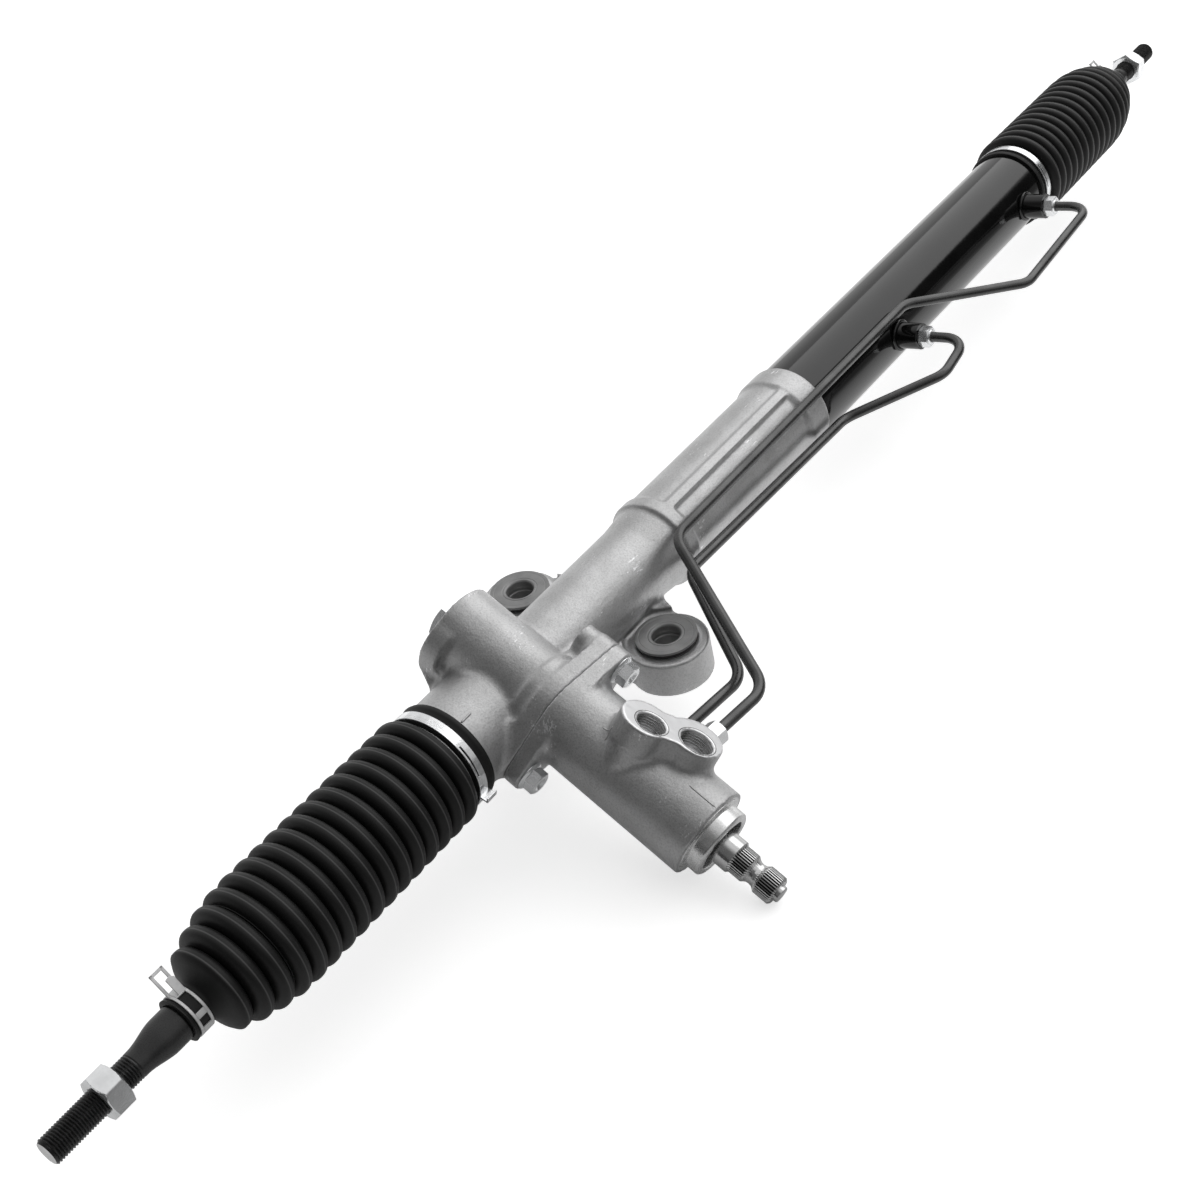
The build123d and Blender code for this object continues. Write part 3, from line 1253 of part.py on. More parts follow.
def large_clamp(middle_x, neck_r):
    """Wide band with its folded tail."""
    inner_r = neck_r + FIT_GAP + BOOT_CUFF_WALL + FIT_GAP
    half = LARGE_CLAMP_WIDTH / 2
    band = ring_x(middle_x - half, middle_x + half, inner_r + CLAMP_THICK, inner_r)
    tail = Box(LARGE_CLAMP_WIDTH, CLAMP_TAIL_LENGTH, 2 * CLAMP_THICK)
    seated = Pos(middle_x, 0, 0) * Rot(-35, 0, 0) * Pos(0, 0, -inner_r - CLAMP_THICK) * tail
    return band + (seated - rod_x(middle_x - half - 1, middle_x + half + 1, inner_r))


def small_clamp(middle_x):
    """Spring clip with a grip loop."""
    inner_r = GROOVE_R + FIT_GAP + SMALL_CUFF_WALL + FIT_GAP
    half = SMALL_CLAMP_WIDTH / 2
    band = ring_x(middle_x - half, middle_x + half, inner_r + CLAMP_THICK, inner_r)
    grip_z = -inner_r - CLAMP_GRIP_HEIGHT / 2
    grip = Pos(0, 0, grip_z) * Box(SMALL_CLAMP_WIDTH, CLAMP_GRIP_THICK, CLAMP_GRIP_HEIGHT)
    seated = Pos(middle_x, 0, 0) * Rot(-50, 0, 0) * grip
    return band + (seated - rod_x(middle_x - half - 1, middle_x + half + 1, inner_r))


# ---------------------------------------------------------------- all nodes
def save(name, shape):
    """Write one piece, moved so that the front bush's seat is the origin."""
    solids = shape if isinstance(shape, list) else [shape]
    moved = [Location(ORIGIN_SHIFT) * solid for solid in solids]
    whole = moved[0] if len(moved) == 1 else Compound(children=moved)
    export_step(whole, f"parts/{name}.step")


if __name__ == "__main__":
    os.makedirs("parts", exist_ok=True)
    save("rack_housing", rack_housing())
    save("cylinder_tube", cylinder_tube())
    save("tube_port_bosses", tube_port_bosses())
    save("inner_bulkhead", inner_bulkhead())
    save("outer_bulkhead", outer_bulkhead())
    save("inner_rack_seal", rod_seal(INNER_BULKHEAD_X + BULKHEAD_WIDTH - SEAL_WIDTH))
    save("outer_rack_seal", rod_seal(OUTER_BULKHEAD_X))
    save("snap_ring", snap_ring())
    save("bush_shells", bush_shells())
    save("bush_rubbers", bush_rubbers())
    save("bush_sleeves", bush_sleeves())
    save("yoke_body", yoke_body())
    save("yoke_liner", yoke_liner())
    save("yoke_spring", yoke_spring())
    save("yoke_plug", yoke_plug())
    save("yoke_locknut", yoke_locknut())
    save("pinion_end_cap", pinion_end_cap())
    save("pinion_bearing_outer", pinion_bearing_outer())
    save("pinion_bearing_inner", pinion_bearing_inner())
    save("pinion_bearing_balls", pinion_bearing_balls())
    save("upper_bearing_cup", upper_bearing_cup())
    save("upper_bearing_needles", upper_bearing_needles())
    save("pinion", pinion())
    save("pinion_nut", pinion_nut())
    save("torsion_bar", torsion_bar())
    save("valve_sleeve", valve_sleeve())
    save("valve_seal_rings", valve_seal_rings())
    save("input_shaft", input_shaft())
    save("input_bearing", input_bearing())
    save("input_seal", lip_seal(INPUT_SEAL_T, INPUT_SEAL_WIDTH))
    save("dust_seal", lip_seal(DUST_SEAL_T, SEAL_WIDTH))
    save("retaining_ring", retaining_ring())
    save("valve_housing", valve_housing())
    save("flange_o_ring", flange_o_ring())
    save("flange_bolts", flange_bolts())
    save("right_line_pipe", right_line_pipe())
    save("left_line_pipe", left_line_pipe())
    save("valve_pipe_nuts", valve_pipe_nuts())
    save("tube_pipe_nuts", tube_pipe_nuts())
    save("rack_bar", rack_bar())
    save("piston", piston())
    save("piston_ring", piston_ring())
    save("lock_washers", lock_washers())
    save("left_socket", facing_left(LEFT_BALL_X, socket_shape()))
    save("right_socket", facing_right(RIGHT_BALL_X, socket_shape()))
    save("left_ball_seat", facing_left(LEFT_BALL_X, ball_seat_shape()))
    save("right_ball_seat", facing_right(RIGHT_BALL_X, ball_seat_shape()))
    left_rod = tie_rod_shape(LEFT_TAPER_END, LEFT_GROOVE_START, LEFT_JAM_NUT_REACH)
    right_rod = tie_rod_shape(RIGHT_TAPER_END, RIGHT_GROOVE_START, RIGHT_JAM_NUT_REACH)
    save("left_tie_rod", facing_left(LEFT_BALL_X, left_rod))
    save("right_tie_rod", facing_right(RIGHT_BALL_X, right_rod))
    save("left_jam_nut", facing_left(LEFT_BALL_X, jam_nut_shape(LEFT_JAM_NUT_REACH)))
    save("right_jam_nut", facing_right(RIGHT_BALL_X, jam_nut_shape(RIGHT_JAM_NUT_REACH)))
    save("left_boot", boot(LEFT_CLAMP_X, LEFT_SMALL_CLAMP_X, NECK_R))
    save("right_boot", boot(RIGHT_CLAMP_X, RIGHT_SMALL_CLAMP_X, TUBE_R))
    save("left_large_clamp", large_clamp(LEFT_CLAMP_X, NECK_R))
    save("right_large_clamp", large_clamp(RIGHT_CLAMP_X, TUBE_R))
    save("left_small_clamp", small_clamp(LEFT_SMALL_CLAMP_X))
    save("right_small_clamp", small_clamp(RIGHT_SMALL_CLAMP_X))
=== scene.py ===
import json
from math import atan2, cos, hypot, pi, radians, sin, sqrt, tan

import bmesh
import bpy
import numpy as np
import openvdb
from mathutils import Matrix, Vector

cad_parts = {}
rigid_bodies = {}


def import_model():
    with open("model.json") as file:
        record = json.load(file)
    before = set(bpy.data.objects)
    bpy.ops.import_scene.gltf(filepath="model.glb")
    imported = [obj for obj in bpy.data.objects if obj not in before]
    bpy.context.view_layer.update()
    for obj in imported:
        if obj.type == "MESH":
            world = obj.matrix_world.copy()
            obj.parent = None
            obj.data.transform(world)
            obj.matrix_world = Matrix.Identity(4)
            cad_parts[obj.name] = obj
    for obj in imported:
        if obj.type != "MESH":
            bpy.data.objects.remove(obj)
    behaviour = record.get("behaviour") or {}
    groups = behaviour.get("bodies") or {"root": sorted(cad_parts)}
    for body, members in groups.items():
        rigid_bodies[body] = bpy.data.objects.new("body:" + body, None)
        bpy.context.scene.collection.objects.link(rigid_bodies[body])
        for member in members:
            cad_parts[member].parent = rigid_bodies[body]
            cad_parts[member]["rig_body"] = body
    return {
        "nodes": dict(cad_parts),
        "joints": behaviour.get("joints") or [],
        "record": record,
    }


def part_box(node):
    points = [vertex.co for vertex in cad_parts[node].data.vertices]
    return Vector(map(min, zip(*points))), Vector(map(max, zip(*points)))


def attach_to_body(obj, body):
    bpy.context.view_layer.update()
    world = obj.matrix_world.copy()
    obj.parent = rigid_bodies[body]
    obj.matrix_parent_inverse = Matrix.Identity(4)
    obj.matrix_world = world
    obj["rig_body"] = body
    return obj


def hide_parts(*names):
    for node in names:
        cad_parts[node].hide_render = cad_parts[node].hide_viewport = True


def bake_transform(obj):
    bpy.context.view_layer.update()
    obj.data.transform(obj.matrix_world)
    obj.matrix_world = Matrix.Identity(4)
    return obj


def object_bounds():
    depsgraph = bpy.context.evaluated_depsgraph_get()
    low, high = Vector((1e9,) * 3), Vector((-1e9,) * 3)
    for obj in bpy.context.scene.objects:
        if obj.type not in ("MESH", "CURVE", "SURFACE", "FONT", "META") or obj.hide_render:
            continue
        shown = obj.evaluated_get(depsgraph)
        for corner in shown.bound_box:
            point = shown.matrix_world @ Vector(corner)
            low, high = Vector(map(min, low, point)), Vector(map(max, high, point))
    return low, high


# Looks of a hydraulic steering rack. All lengths are metres.
# Turned pieces are drawn about the Z of a place: a matrix that puts them on the rack's line,
# on the pinion's line, on a port or on a bush.

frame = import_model()
cad_low, cad_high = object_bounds()

# ---------------- places, read from the frame
X_AXIS = Vector((1, 0, 0))
Y_AXIS = Vector((0, 1, 0))
mounts = {mount["name"]: mount for mount in frame["record"]["mounts"]}
joints = {joint["name"]: joint for joint in frame["joints"]}


def placed(origin, along, across):
    """A place whose Z points along, and whose X is across made square to it."""
    z = Vector(along).normalized()
    x = (Vector(across) - z * Vector(across).dot(z)).normalized()
    y = z.cross(x)
    turn = Matrix((x, y, z)).transposed().to_4x4()
    return Matrix.Translation(Vector(origin)) @ turn


def middle(node):
    low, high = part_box(node)
    return (low + high) / 2


tube_middle = middle("cylinder_tube")
RACK_HEIGHT = tube_middle.z
RACK_DEPTH = tube_middle.y
RACK = placed((0, RACK_DEPTH, RACK_HEIGHT), X_AXIS, Y_AXIS)
PINION = placed(joints["pinion_spin"]["pos_m"], joints["pinion_spin"]["axis"], X_AXIS)
PINION_AXIS = PINION.to_3x3().col[2]
NECK_R = 0.0283           # the housing's neck and the tube, which the boots' cuffs sit on
TUBE_R = 0.0272


def mount_place(name, across=PINION_AXIS):
    return placed(mounts[name]["pos_m"], mounts[name]["axis"], across)


def extent(node, place):
    """Lowest and highest station of a node along a place's Z, and its largest radius about it."""
    inverse = place.inverted()
    points = [inverse @ vertex.co for vertex in frame["nodes"][node].data.vertices]
    stations = [point.z for point in points]
    return min(stations), max(stations), max(hypot(point.x, point.y) for point in points)


# ---------------- mesh helpers
def scene_object(name, mesh):
    made = bpy.data.objects.new(name, mesh)
    bpy.context.scene.collection.objects.link(made)
    return made


def piece(name, points, faces, place, material, crease=32):
    """A mesh from points in a place, with faces turned outwards and edges sharp beyond crease degrees."""
    mesh = bpy.data.meshes.new(name)
    mesh.from_pydata([tuple(place @ Vector(point)) for point in points], [], faces)
    working = bmesh.new()
    working.from_mesh(mesh)
    bmesh.ops.recalc_face_normals(working, faces=working.faces)
    working.to_mesh(mesh)
    working.free()
    mesh.shade_smooth()
    mesh.set_sharp_from_angle(angle=radians(crease))
    mesh.materials.append(material)
    return scene_object(name, mesh)


def joined(name, parts):
    """One piece from several, which keep their own materials."""
    bpy.ops.object.select_all(action="DESELECT")
    for part in parts:
        part.select_set(True)
    bpy.context.view_layer.objects.active = parts[0]
    bpy.ops.object.join()
    parts[0].name = name
    parts[0].data.name = name
    return parts[0]


def eased(corners, size, steps=3):
    """An outline whose corners off the axis are rounded by a small curve."""
    outline = []
    count = len(corners)
    for number, corner in enumerate(corners):
        here = Vector(corner)
        before = Vector(corners[number - 1])
        after = Vector(corners[(number + 1) % count])
        if here.y < 1e-9 or (before - here).length < 1e-9 or (after - here).length < 1e-9:
            outline.append(corner)
            continue
        room = min(size, (before - here).length * 0.45, (after - here).length * 0.45)
        start = here + (before - here).normalized() * room
        end = here + (after - here).normalized() * room
        for step in range(steps + 1):
            share = step / steps
            point = start.lerp(here, share).lerp(here.lerp(end, share), share)
            outline.append((point.x, point.y))
    return outline


def turned(name, outline, place, material, sides=96, shape=None, crease=32):
    """A closed surface turned about a place's Z, from a closed outline of (station, radius)."""
    points = []
    rings = []
    for station, radius in outline:
        if radius < 1e-9:
            rings.append([len(points)] * sides)
            points.append((0, 0, station))
            continue
        rings.append(range(len(points), len(points) + sides))
        for side in range(sides):
            angle = 2 * pi * side / sides
            reach = shape(station, angle, radius) if shape else radius
            points.append((reach * cos(angle), reach * sin(angle), station))
    faces = []
    for ring, following in zip(rings, rings[1:] + rings[:1]):
        for side in range(sides):
            beside = (side + 1) % sides
            corners = dict.fromkeys((ring[side], following[side], following[beside], ring[beside]))
            if len(corners) > 2:
                faces.append(list(corners))
    return piece(name, points, faces, place, material, crease)


def steps_between(start, end, step):
    count = max(1, round(abs(end - start) / step))
    return [start + (end - start) * number / count for number in range(count + 1)]


NUT_FACE = 0.475          # radius of a nut's flat end, as a share of its width across flats
NUT_SLOPE = tan(radians(28))
NUT_BORE_EDGE = 0.0006


def hexagon_nut(name, start, end, across_flats, bore_r, place, material, turn=0.0):
    """A nut whose corners are turned down at both ends, as a cone cuts them."""
    corner_r = across_flats / sqrt(3)
    face_r = across_flats * NUT_FACE

    def reach(station, angle, radius):
        if radius <= face_r:
            return radius
        from_end = min(station - start, end - station)
        cone = face_r + from_end / NUT_SLOPE
        flat = across_flats / 2 / cos((angle + turn) % (pi / 3) - pi / 6)
        return min(cone, flat)

    depth = (corner_r - face_r) * NUT_SLOPE
    stations = steps_between(start, start + depth, depth / 7)
    stations += steps_between(end - depth, end, depth / 7)
    outline = [(start, bore_r + NUT_BORE_EDGE), (start, face_r)]
    outline += [(station, corner_r) for station in stations[1:-1]]
    outline += [(end, face_r), (end, bore_r + NUT_BORE_EDGE)]
    outline += [(end - NUT_BORE_EDGE, bore_r), (start + NUT_BORE_EDGE, bore_r)]
    return turned(name, outline, place, material, sides=144, shape=reach, crease=24)


def repaint(made, material, test):
    """Give the faces whose middle passes a test another material."""
    made.data.materials.append(material)
    for face in made.data.polygons:
        if test(face.center):
            face.material_index = 1


THREAD_PITCH = 0.0015
THREAD_STEP = THREAD_PITCH / 9
THREAD_DEPTH = 0.0008
THREAD_GROOVE = 0.86      # share of the pitch that the groove takes up


def thread_share(station, angle):
    """Share of the groove's depth at a point of a right-hand thread."""
    phase = (station / THREAD_PITCH - angle / (2 * pi)) % 1.0
    return max(0.0, 1.0 - abs(phase - 0.5) * 2 / THREAD_GROOVE)


def worked(made):
    """Keep what a piece's modifiers make of it as its mesh."""
    mesh = bpy.data.meshes.new_from_object(made.evaluated_get(bpy.context.evaluated_depsgraph_get()))
    made.modifiers.clear()
    made.data = mesh
    return made


# ---------------- materials
WHITE = (1.0, 1.0, 1.0)
FINISHES = {}             # by name, which for a CAD node's finish is the name of its slot


def new_material(name):
    material = bpy.data.materials.new(name)
    material.use_nodes = True
    FINISHES[name] = material
    return material, material.node_tree, material.node_tree.nodes["Principled BSDF"]


def fill(tree, node, values):
    """Link a node's inputs to other nodes' sockets, and set the rest to plain values."""
    for name, value in values.items():
        if isinstance(value, bpy.types.NodeSocket):
            tree.links.new(value, node.inputs[name])
        else:
            node.inputs[name].default_value = value


def new_node(tree, kind, values):
    node = tree.nodes.new("ShaderNode" + kind)
    fill(tree, node, values)
    return node


def object_place(tree):
    return new_node(tree, "TexCoord", {}).outputs["Object"]


def noise_of(tree, place, size, detail=2.0, roughness=0.5, stretch=None):
    """Noise whose blobs are about size metres wide, in the object's own space."""
    if stretch:
        place = new_node(tree, "Mapping", {"Scale": stretch, "Vector": place}).outputs["Vector"]
    values = {"Scale": 1 / size, "Detail": detail, "Roughness": roughness, "Vector": place}
    return new_node(tree, "TexNoise", values).outputs["Fac"]


def ramp_of(tree, value, stops):
    ramp = new_node(tree, "ValToRGB", {"Fac": value})
    elements = ramp.color_ramp.elements
    while len(elements) < len(stops):
        elements.new(0.5)
    for element, (position, colour) in zip(elements, stops):
        element.position = position
        element.color = (*colour, 1)
    return ramp.outputs["Color"]


def range_of(tree, value, low, high, limits=(0.0, 1.0), interpolation="LINEAR"):
    """A change from low to high while value passes between two limits."""
    values = {"Value": value, "From Min": limits[0], "From Max": limits[1], "To Min": low, "To Max": high}
    change = new_node(tree, "MapRange", values)
    change.interpolation_type = interpolation
    return change.outputs["Result"]


def relief_of(tree, height, distance, strength=1.0, under=None):
    """A surface direction bent by a height, on top of another relief."""
    relief = new_node(tree, "Bump", {"Height": height, "Distance": distance, "Strength": strength})
    if under:
        tree.links.new(under, relief.inputs["Normal"])
    return relief.outputs["Normal"]


def attribute_of(tree, name):
    """A number that is kept on the mesh's points."""
    node = new_node(tree, "Attribute", {})
    node.attribute_name = name
    return node.outputs["Fac"]


def maths(tree, operation, first, second):
    node = new_node(tree, "Math", {0: first, 1: second})
    node.operation = operation
    return node.outputs["Value"]


def grey(level, tint=WHITE):
    return tuple(level * share for share in tint)


def surface(name, dark, light, metallic, roughness, blotch, grain, bump, spread=0.06, tint=WHITE):
    """A procedural finish: colour between dark and light by blotches, with grain in gloss and relief."""
    material, tree, shader = new_material(name)
    place = object_place(tree)
    blotches = noise_of(tree, place, blotch, detail=4.0)
    grains = noise_of(tree, place, grain, detail=3.0, roughness=0.6)
    fill(tree, shader, {
        "Base Color": ramp_of(tree, blotches, [(0.35, grey(dark, tint)), (0.65, grey(light, tint))]),
        "Roughness": range_of(tree, grains, max(0.02, roughness - spread), roughness + spread, (0.3, 0.7)),
        "Metallic": metallic,
        "Normal": relief_of(tree, grains, bump),
    })
    return material


def over(tree, share, base, level):
    """A base colour under a plain grey one, by a share."""
    mix = tree.nodes.new("ShaderNodeMix")
    mix.data_type = "RGBA"
    fill(tree, mix, {"Factor": share, "A": base, "B": (level, level, level * 1.01, 1)})
    return mix.outputs["Result"]


CAST_DARK = grey(0.47)
CAST_LIGHT = grey(0.59, (0.995, 0.995, 1.0))
SAND_LEVEL = 0.30         # dark grains of the sand's print
NICK_LEVEL = 0.86
SCRATCH_LEVEL = 0.84
MACHINED_LEVEL = 0.80
SCRATCH_STRETCH = (0.18, 1.0, 0.4)
CAST_ROUGHNESS = 0.42
MACHINED_ROUGHNESS = 0.30
MACHINED_GRAIN = 0.12     # how much of the relief a machined face keeps
CAST_METALLIC = 0.80
BLOTCH_SIZE = 0.026
PATCH_SIZE = 0.020        # of the patches where nicks and scratches gather
WAVE_SIZE = 0.007
WAVE_DEPTH = 0.0003
SAND_SIZE = 0.0010
MARK_SIZE = 0.0012        # of nicks, scratches and the grain's relief
GRAIN_DEPTH = 0.00016


def cast_finish():
    """Cast aluminium: sandy grain, soft blotches, bright nicks and scratches, and machined faces."""
    material, tree, shader = new_material("cast_aluminium")
    place = object_place(tree)
    machined = attribute_of(tree, "machined")
    blotches = noise_of(tree, place, BLOTCH_SIZE, detail=4.0)
    patches = noise_of(tree, place, PATCH_SIZE)
    sand = noise_of(tree, place, SAND_SIZE, roughness=0.7)
    speckle = noise_of(tree, place, MARK_SIZE, roughness=0.7)
    scratch = noise_of(tree, place, MARK_SIZE, roughness=0.7, stretch=SCRATCH_STRETCH)

    def marks(value, start, end, most):
        return ramp_of(tree, value, [(start, grey(0.0)), (end, grey(most))])

    nicks = marks(maths(tree, "MULTIPLY", speckle, patches), 0.425, 0.455, 0.9)
    lines = marks(maths(tree, "MULTIPLY", scratch, patches), 0.405, 0.43, 0.9)
    colour = ramp_of(tree, blotches, [(0.3, CAST_DARK), (0.7, CAST_LIGHT)])
    colour = over(tree, marks(sand, 0.46, 0.66, 0.45), colour, SAND_LEVEL)
    colour = over(tree, nicks, colour, NICK_LEVEL)
    colour = over(tree, lines, colour, SCRATCH_LEVEL)
    colour = over(tree, machined, colour, MACHINED_LEVEL)
    waves = relief_of(tree, noise_of(tree, place, WAVE_SIZE), WAVE_DEPTH)
    grain = noise_of(tree, place, MARK_SIZE, detail=3.0, roughness=0.65)
    grain_share = range_of(tree, machined, 1.0, MACHINED_GRAIN)
    fill(tree, shader, {
        "Base Color": colour,
        "Roughness": range_of(tree, machined, CAST_ROUGHNESS, MACHINED_ROUGHNESS),
        "Metallic": CAST_METALLIC,
        "Normal": relief_of(tree, grain, GRAIN_DEPTH, grain_share, waves),
    })
    return material


def boot_finish():
    """Satin rubber whose ridge tops are painted lighter, a painted highlight; the share of that highlight is
    kept on the mesh.
    """
    material, tree, shader = new_material("boot_rubber")
    ridge = attribute_of(tree, "crest_highlight")
    grain = noise_of(tree, object_place(tree), 0.0009, detail=3.0, roughness=0.6)
    fill(tree, shader, {
        "Base Color": ramp_of(tree, ridge, [(0.70, grey(0.009)), (1.0, grey(0.085))]),
        "Roughness": range_of(tree, grain, 0.42, 0.58),
        "Normal": relief_of(tree, grain, 0.00004),
        "Specular IOR Level": 0.30,
    })
    return material


# Each finish: darkest and lightest grey, metallic, roughness, sizes of blotches and grain, relief.
CAST = cast_finish()
BOOT = boot_finish()
TUBE_PAINT = surface("black_tube_paint", 0.004, 0.008, 0.0, 0.09, 0.03, 0.002, 0.00001, spread=0.03)
ZINC = surface("zinc_steel", 0.84, 0.95, 0.82, 0.13, 0.006, 0.0009, 0.00004, tint=(0.99, 1.0, 1.01))
SATIN_ZINC = surface("satin_zinc", 0.66, 0.82, 1.0, 0.27, 0.004, 0.0009, 0.00006, spread=0.07)
BRIGHT = surface("bright_steel", 0.58, 0.70, 1.0, 0.16, 0.010, 0.0006, 0.00002)
ROD_BLACK = surface("black_steel", 0.014, 0.030, 0.2, 0.30, 0.012, 0.0010, 0.00006, spread=0.08)
BUSH_GREY = surface("grey_bush_steel", 0.23, 0.30, 0.5, 0.42, 0.012, 0.0011, 0.00005)
surface("yoke_aluminium", 0.45, 0.58, 0.8, 0.40, 0.008, 0.0008, 0.00003)
surface("pipe_steel", 0.085, 0.115, 0.85, 0.27, 0.02, 0.0012, 0.00003)
RUBBER = surface("black_rubber", 0.010, 0.018, 0.0, 0.52, 0.01, 0.0008, 0.00005)
CLAMP_STEEL = surface("spring_clamp_steel", 0.62, 0.74, 0.5, 0.42, 0.006, 0.0009, 0.00004)
# The port thread's steel is painted dark grey: painted shade inside the port.
SHADED_PORT_THREAD = surface("cut_thread", 0.16, 0.22, 0.8, 0.30, 0.006, 0.0008, 0.00003)
# The port floor is painted near black: painted shade at the bottom of the hole.
PORT_FLOOR_SHADE = surface("port_floor", 0.006, 0.012, 0.4, 0.5, 0.004, 0.0008, 0.00005)
surface("white_plastic", 0.74, 0.82, 0.0, 0.45, 0.01, 0.0010, 0.00002)
slot_of_node = {row["node"]: row["material_slot"] for row in frame["record"]["subparts"]}
body_of_node = {node: made["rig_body"] for node, made in frame["nodes"].items()}
for node, made in frame["nodes"].items():
    made.data.materials.clear()
    made.data.materials.append(FINISHES[slot_of_node[node]])


def attach(made, node):
    """A new piece rides on a CAD node's body."""
    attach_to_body(made, body_of_node[node])


def dress(made, *nodes):
    """A new piece stands for CAD nodes: it rides on their body, and the nodes are hidden."""
    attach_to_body(made, body_of_node[nodes[0]])
    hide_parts(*nodes)
    return made


# ---------------- castings
PORTS = {name: mount_place(name) for name in ("return_port", "pressure_port")}
BUSHES = {name: mount_place(name, X_AXIS) for name in ("front_bush_bore", "rear_bush_bore")}
VOXEL = 0.0008
CAST_FILLET = 0.0042
CAST_BAND = CAST_FILLET / VOXEL + 3    # voxels on each side of the skin that hold a distance
FINE_FILLET = 0.0011
FINE_FROM_X = 0.028       # beyond this the housing's steps are shallow and need the fine fillet
FINE_TO_X = 0.042
BUSH_FINE_R = 0.030       # and so do the spot faces round the bushes
BUSH_FINE_EDGE = 0.004


def triangles_of(mesh):
    mesh.calc_loop_triangles()
    corners = np.empty(len(mesh.loop_triangles) * 3, np.int32)
    mesh.loop_triangles.foreach_get("vertices", corners)
    points = np.empty(len(mesh.vertices) * 3, np.float32)
    mesh.vertices.foreach_get("co", points)
    return points.reshape(-1, 3), corners.reshape(-1, 3).astype(np.uint32)


def filled_field(points, triangles, fillet, grid, first, last):
    """Distance to the surface after growing by a fillet and shrinking back, which rounds inner corners."""
    solid = openvdb.FloatGrid.createLevelSetFromPolygons(
        points, triangles=triangles, transform=grid, halfWidth=CAST_BAND,
    )
    grown, grown_faces = solid.convertToQuads(isovalue=fillet)
    shrunk = openvdb.FloatGrid.createLevelSetFromPolygons(
        grown, quads=grown_faces, transform=grid, halfWidth=CAST_BAND,
    )
    field = np.empty(tuple(last - first), np.float32)
    shrunk.copyToArray(field, ijk=tuple(first.tolist()))
    return field + fillet


def cast_surface(points, triangles):
    """The casting's skin: wide inner fillets round the bosses, fine ones along the collar and panels."""
    grid = openvdb.createLinearTransform(voxelSize=VOXEL)
    margin = int(CAST_BAND) + 2
    first = np.floor(points.min(axis=0) / VOXEL).astype(int) - margin
    last = np.ceil(points.max(axis=0) / VOXEL).astype(int) + margin
    wide = filled_field(points, triangles, CAST_FILLET, grid, first, last)
    fine = filled_field(points, triangles, FINE_FILLET, grid, first, last)
    x = (np.arange(first[0], last[0]) * VOXEL).reshape(-1, 1, 1)
    y = (np.arange(first[1], last[1]) * VOXEL).reshape(1, -1, 1)
    share = np.clip((x - FINE_FROM_X) / (FINE_TO_X - FINE_FROM_X), 0, 1) + 0 * y
    for place in BUSHES.values():
        beside = np.hypot(x - place.translation.x, y - place.translation.y)
        share = np.maximum(share, np.clip((BUSH_FINE_R - beside) / BUSH_FINE_EDGE, 0, 1))
    share = share.astype(np.float32)
    field = wide * (1 - share) + fine * share
    skin = openvdb.FloatGrid(CAST_BAND * VOXEL)
    skin.transform = grid
    skin.copyFromArray(field, ijk=tuple(first.tolist()))
    return skin.convertToQuads(isovalue=0.0)


ZONE_EDGE_ALONG = 0.0003  # how softly a machined zone ends along its place
ZONE_EDGE_ACROSS = 0.0006


def machined_share(points, zones):
    """How machined each point is: 1 inside any zone, a disc of half a thickness about a place."""
    share = np.zeros(len(points))
    for place, half_thickness, radius in zones:
        inverse = np.array(place.inverted())
        local = points @ inverse[:3, :3].T + inverse[:3, 3]
        within = (half_thickness - np.abs(local[:, 2])) / ZONE_EDGE_ALONG
        beside = (radius - np.hypot(local[:, 0], local[:, 1])) / ZONE_EDGE_ACROSS
        share = np.maximum(share, np.clip(np.minimum(within, beside), 0, 1))
    return share


def casting(name, node, zones):
    """A CAD casting with rounded inner corners and a skin that knows where it is machined."""
    points, faces = cast_surface(*triangles_of(frame["nodes"][node].data))
    mesh = bpy.data.meshes.new(name)
    mesh.from_pydata(points.tolist(), [], faces.tolist())
    made = scene_object(name, mesh)
    smooth = made.modifiers.new("smooth", "SMOOTH")
    smooth.factor = 0.5
    smooth.iterations = 3
    mesh = worked(made).data
    mesh.shade_smooth()
    mesh.materials.append(CAST)
    points = np.empty(len(mesh.vertices) * 3)
    mesh.vertices.foreach_get("co", points)
    share = machined_share(points.reshape(-1, 3), zones)
    mesh.attributes.new("machined", "FLOAT", "POINT").data.foreach_set("value", share)
    return dress(made, node)


def lifted(place, distance):
    return place @ Matrix.Translation((0, 0, distance))


def size_of(mount):
    return mounts[mount]["dims"]["r_mm"] / 1000, mounts[mount]["dims"]["length_mm"] / 1000


BUSH_FLANGE_THICK = 0.0016
BUSH_LIP = 0.0024
PORT_CHAMFER = 0.0011
BUSH_SHELL_R = 0.0166
VALVE_FACE_START, VALVE_FACE_END, _ = extent("valve_housing", PINION)

FACE_ZONE = 0.0006        # half the thickness of the zone that a machined face fills
FLANGE_ZONE = 0.0007
PORT_FACE_R = 0.024
VALVE_FACE_R = 0.0235
FLANGE_R = 0.05


def valve_zones():
    """Machined places of the valve housing: its ports and their faces, its rim and its flange."""
    zones = []
    for port, place in PORTS.items():
        radius, depth = size_of(port)
        zones.append((lifted(place, depth / 2), FACE_ZONE, PORT_FACE_R))
        zones.append((place, depth / 2 + 0.001, radius + 0.0014))
    zones.append((lifted(PINION, VALVE_FACE_END), FACE_ZONE, VALVE_FACE_R))
    zones.append((lifted(PINION, VALVE_FACE_START), FLANGE_ZONE, FLANGE_R))
    return zones


bush_zones = [
    (lifted(place, -BUSH_FLANGE_THICK - BUSH_LIP), FACE_ZONE, BUSH_SHELL_R + 0.0032)
    for place in BUSHES.values()
]
HOUSING_CASTING = casting("housing_casting", "rack_housing", bush_zones)
VALVE_CASTING = casting("valve_casting", "valve_housing", valve_zones())


# ---------------- casting seams
LOOK_FROM_R = 0.042       # rays towards the castings' skin start this far from the line


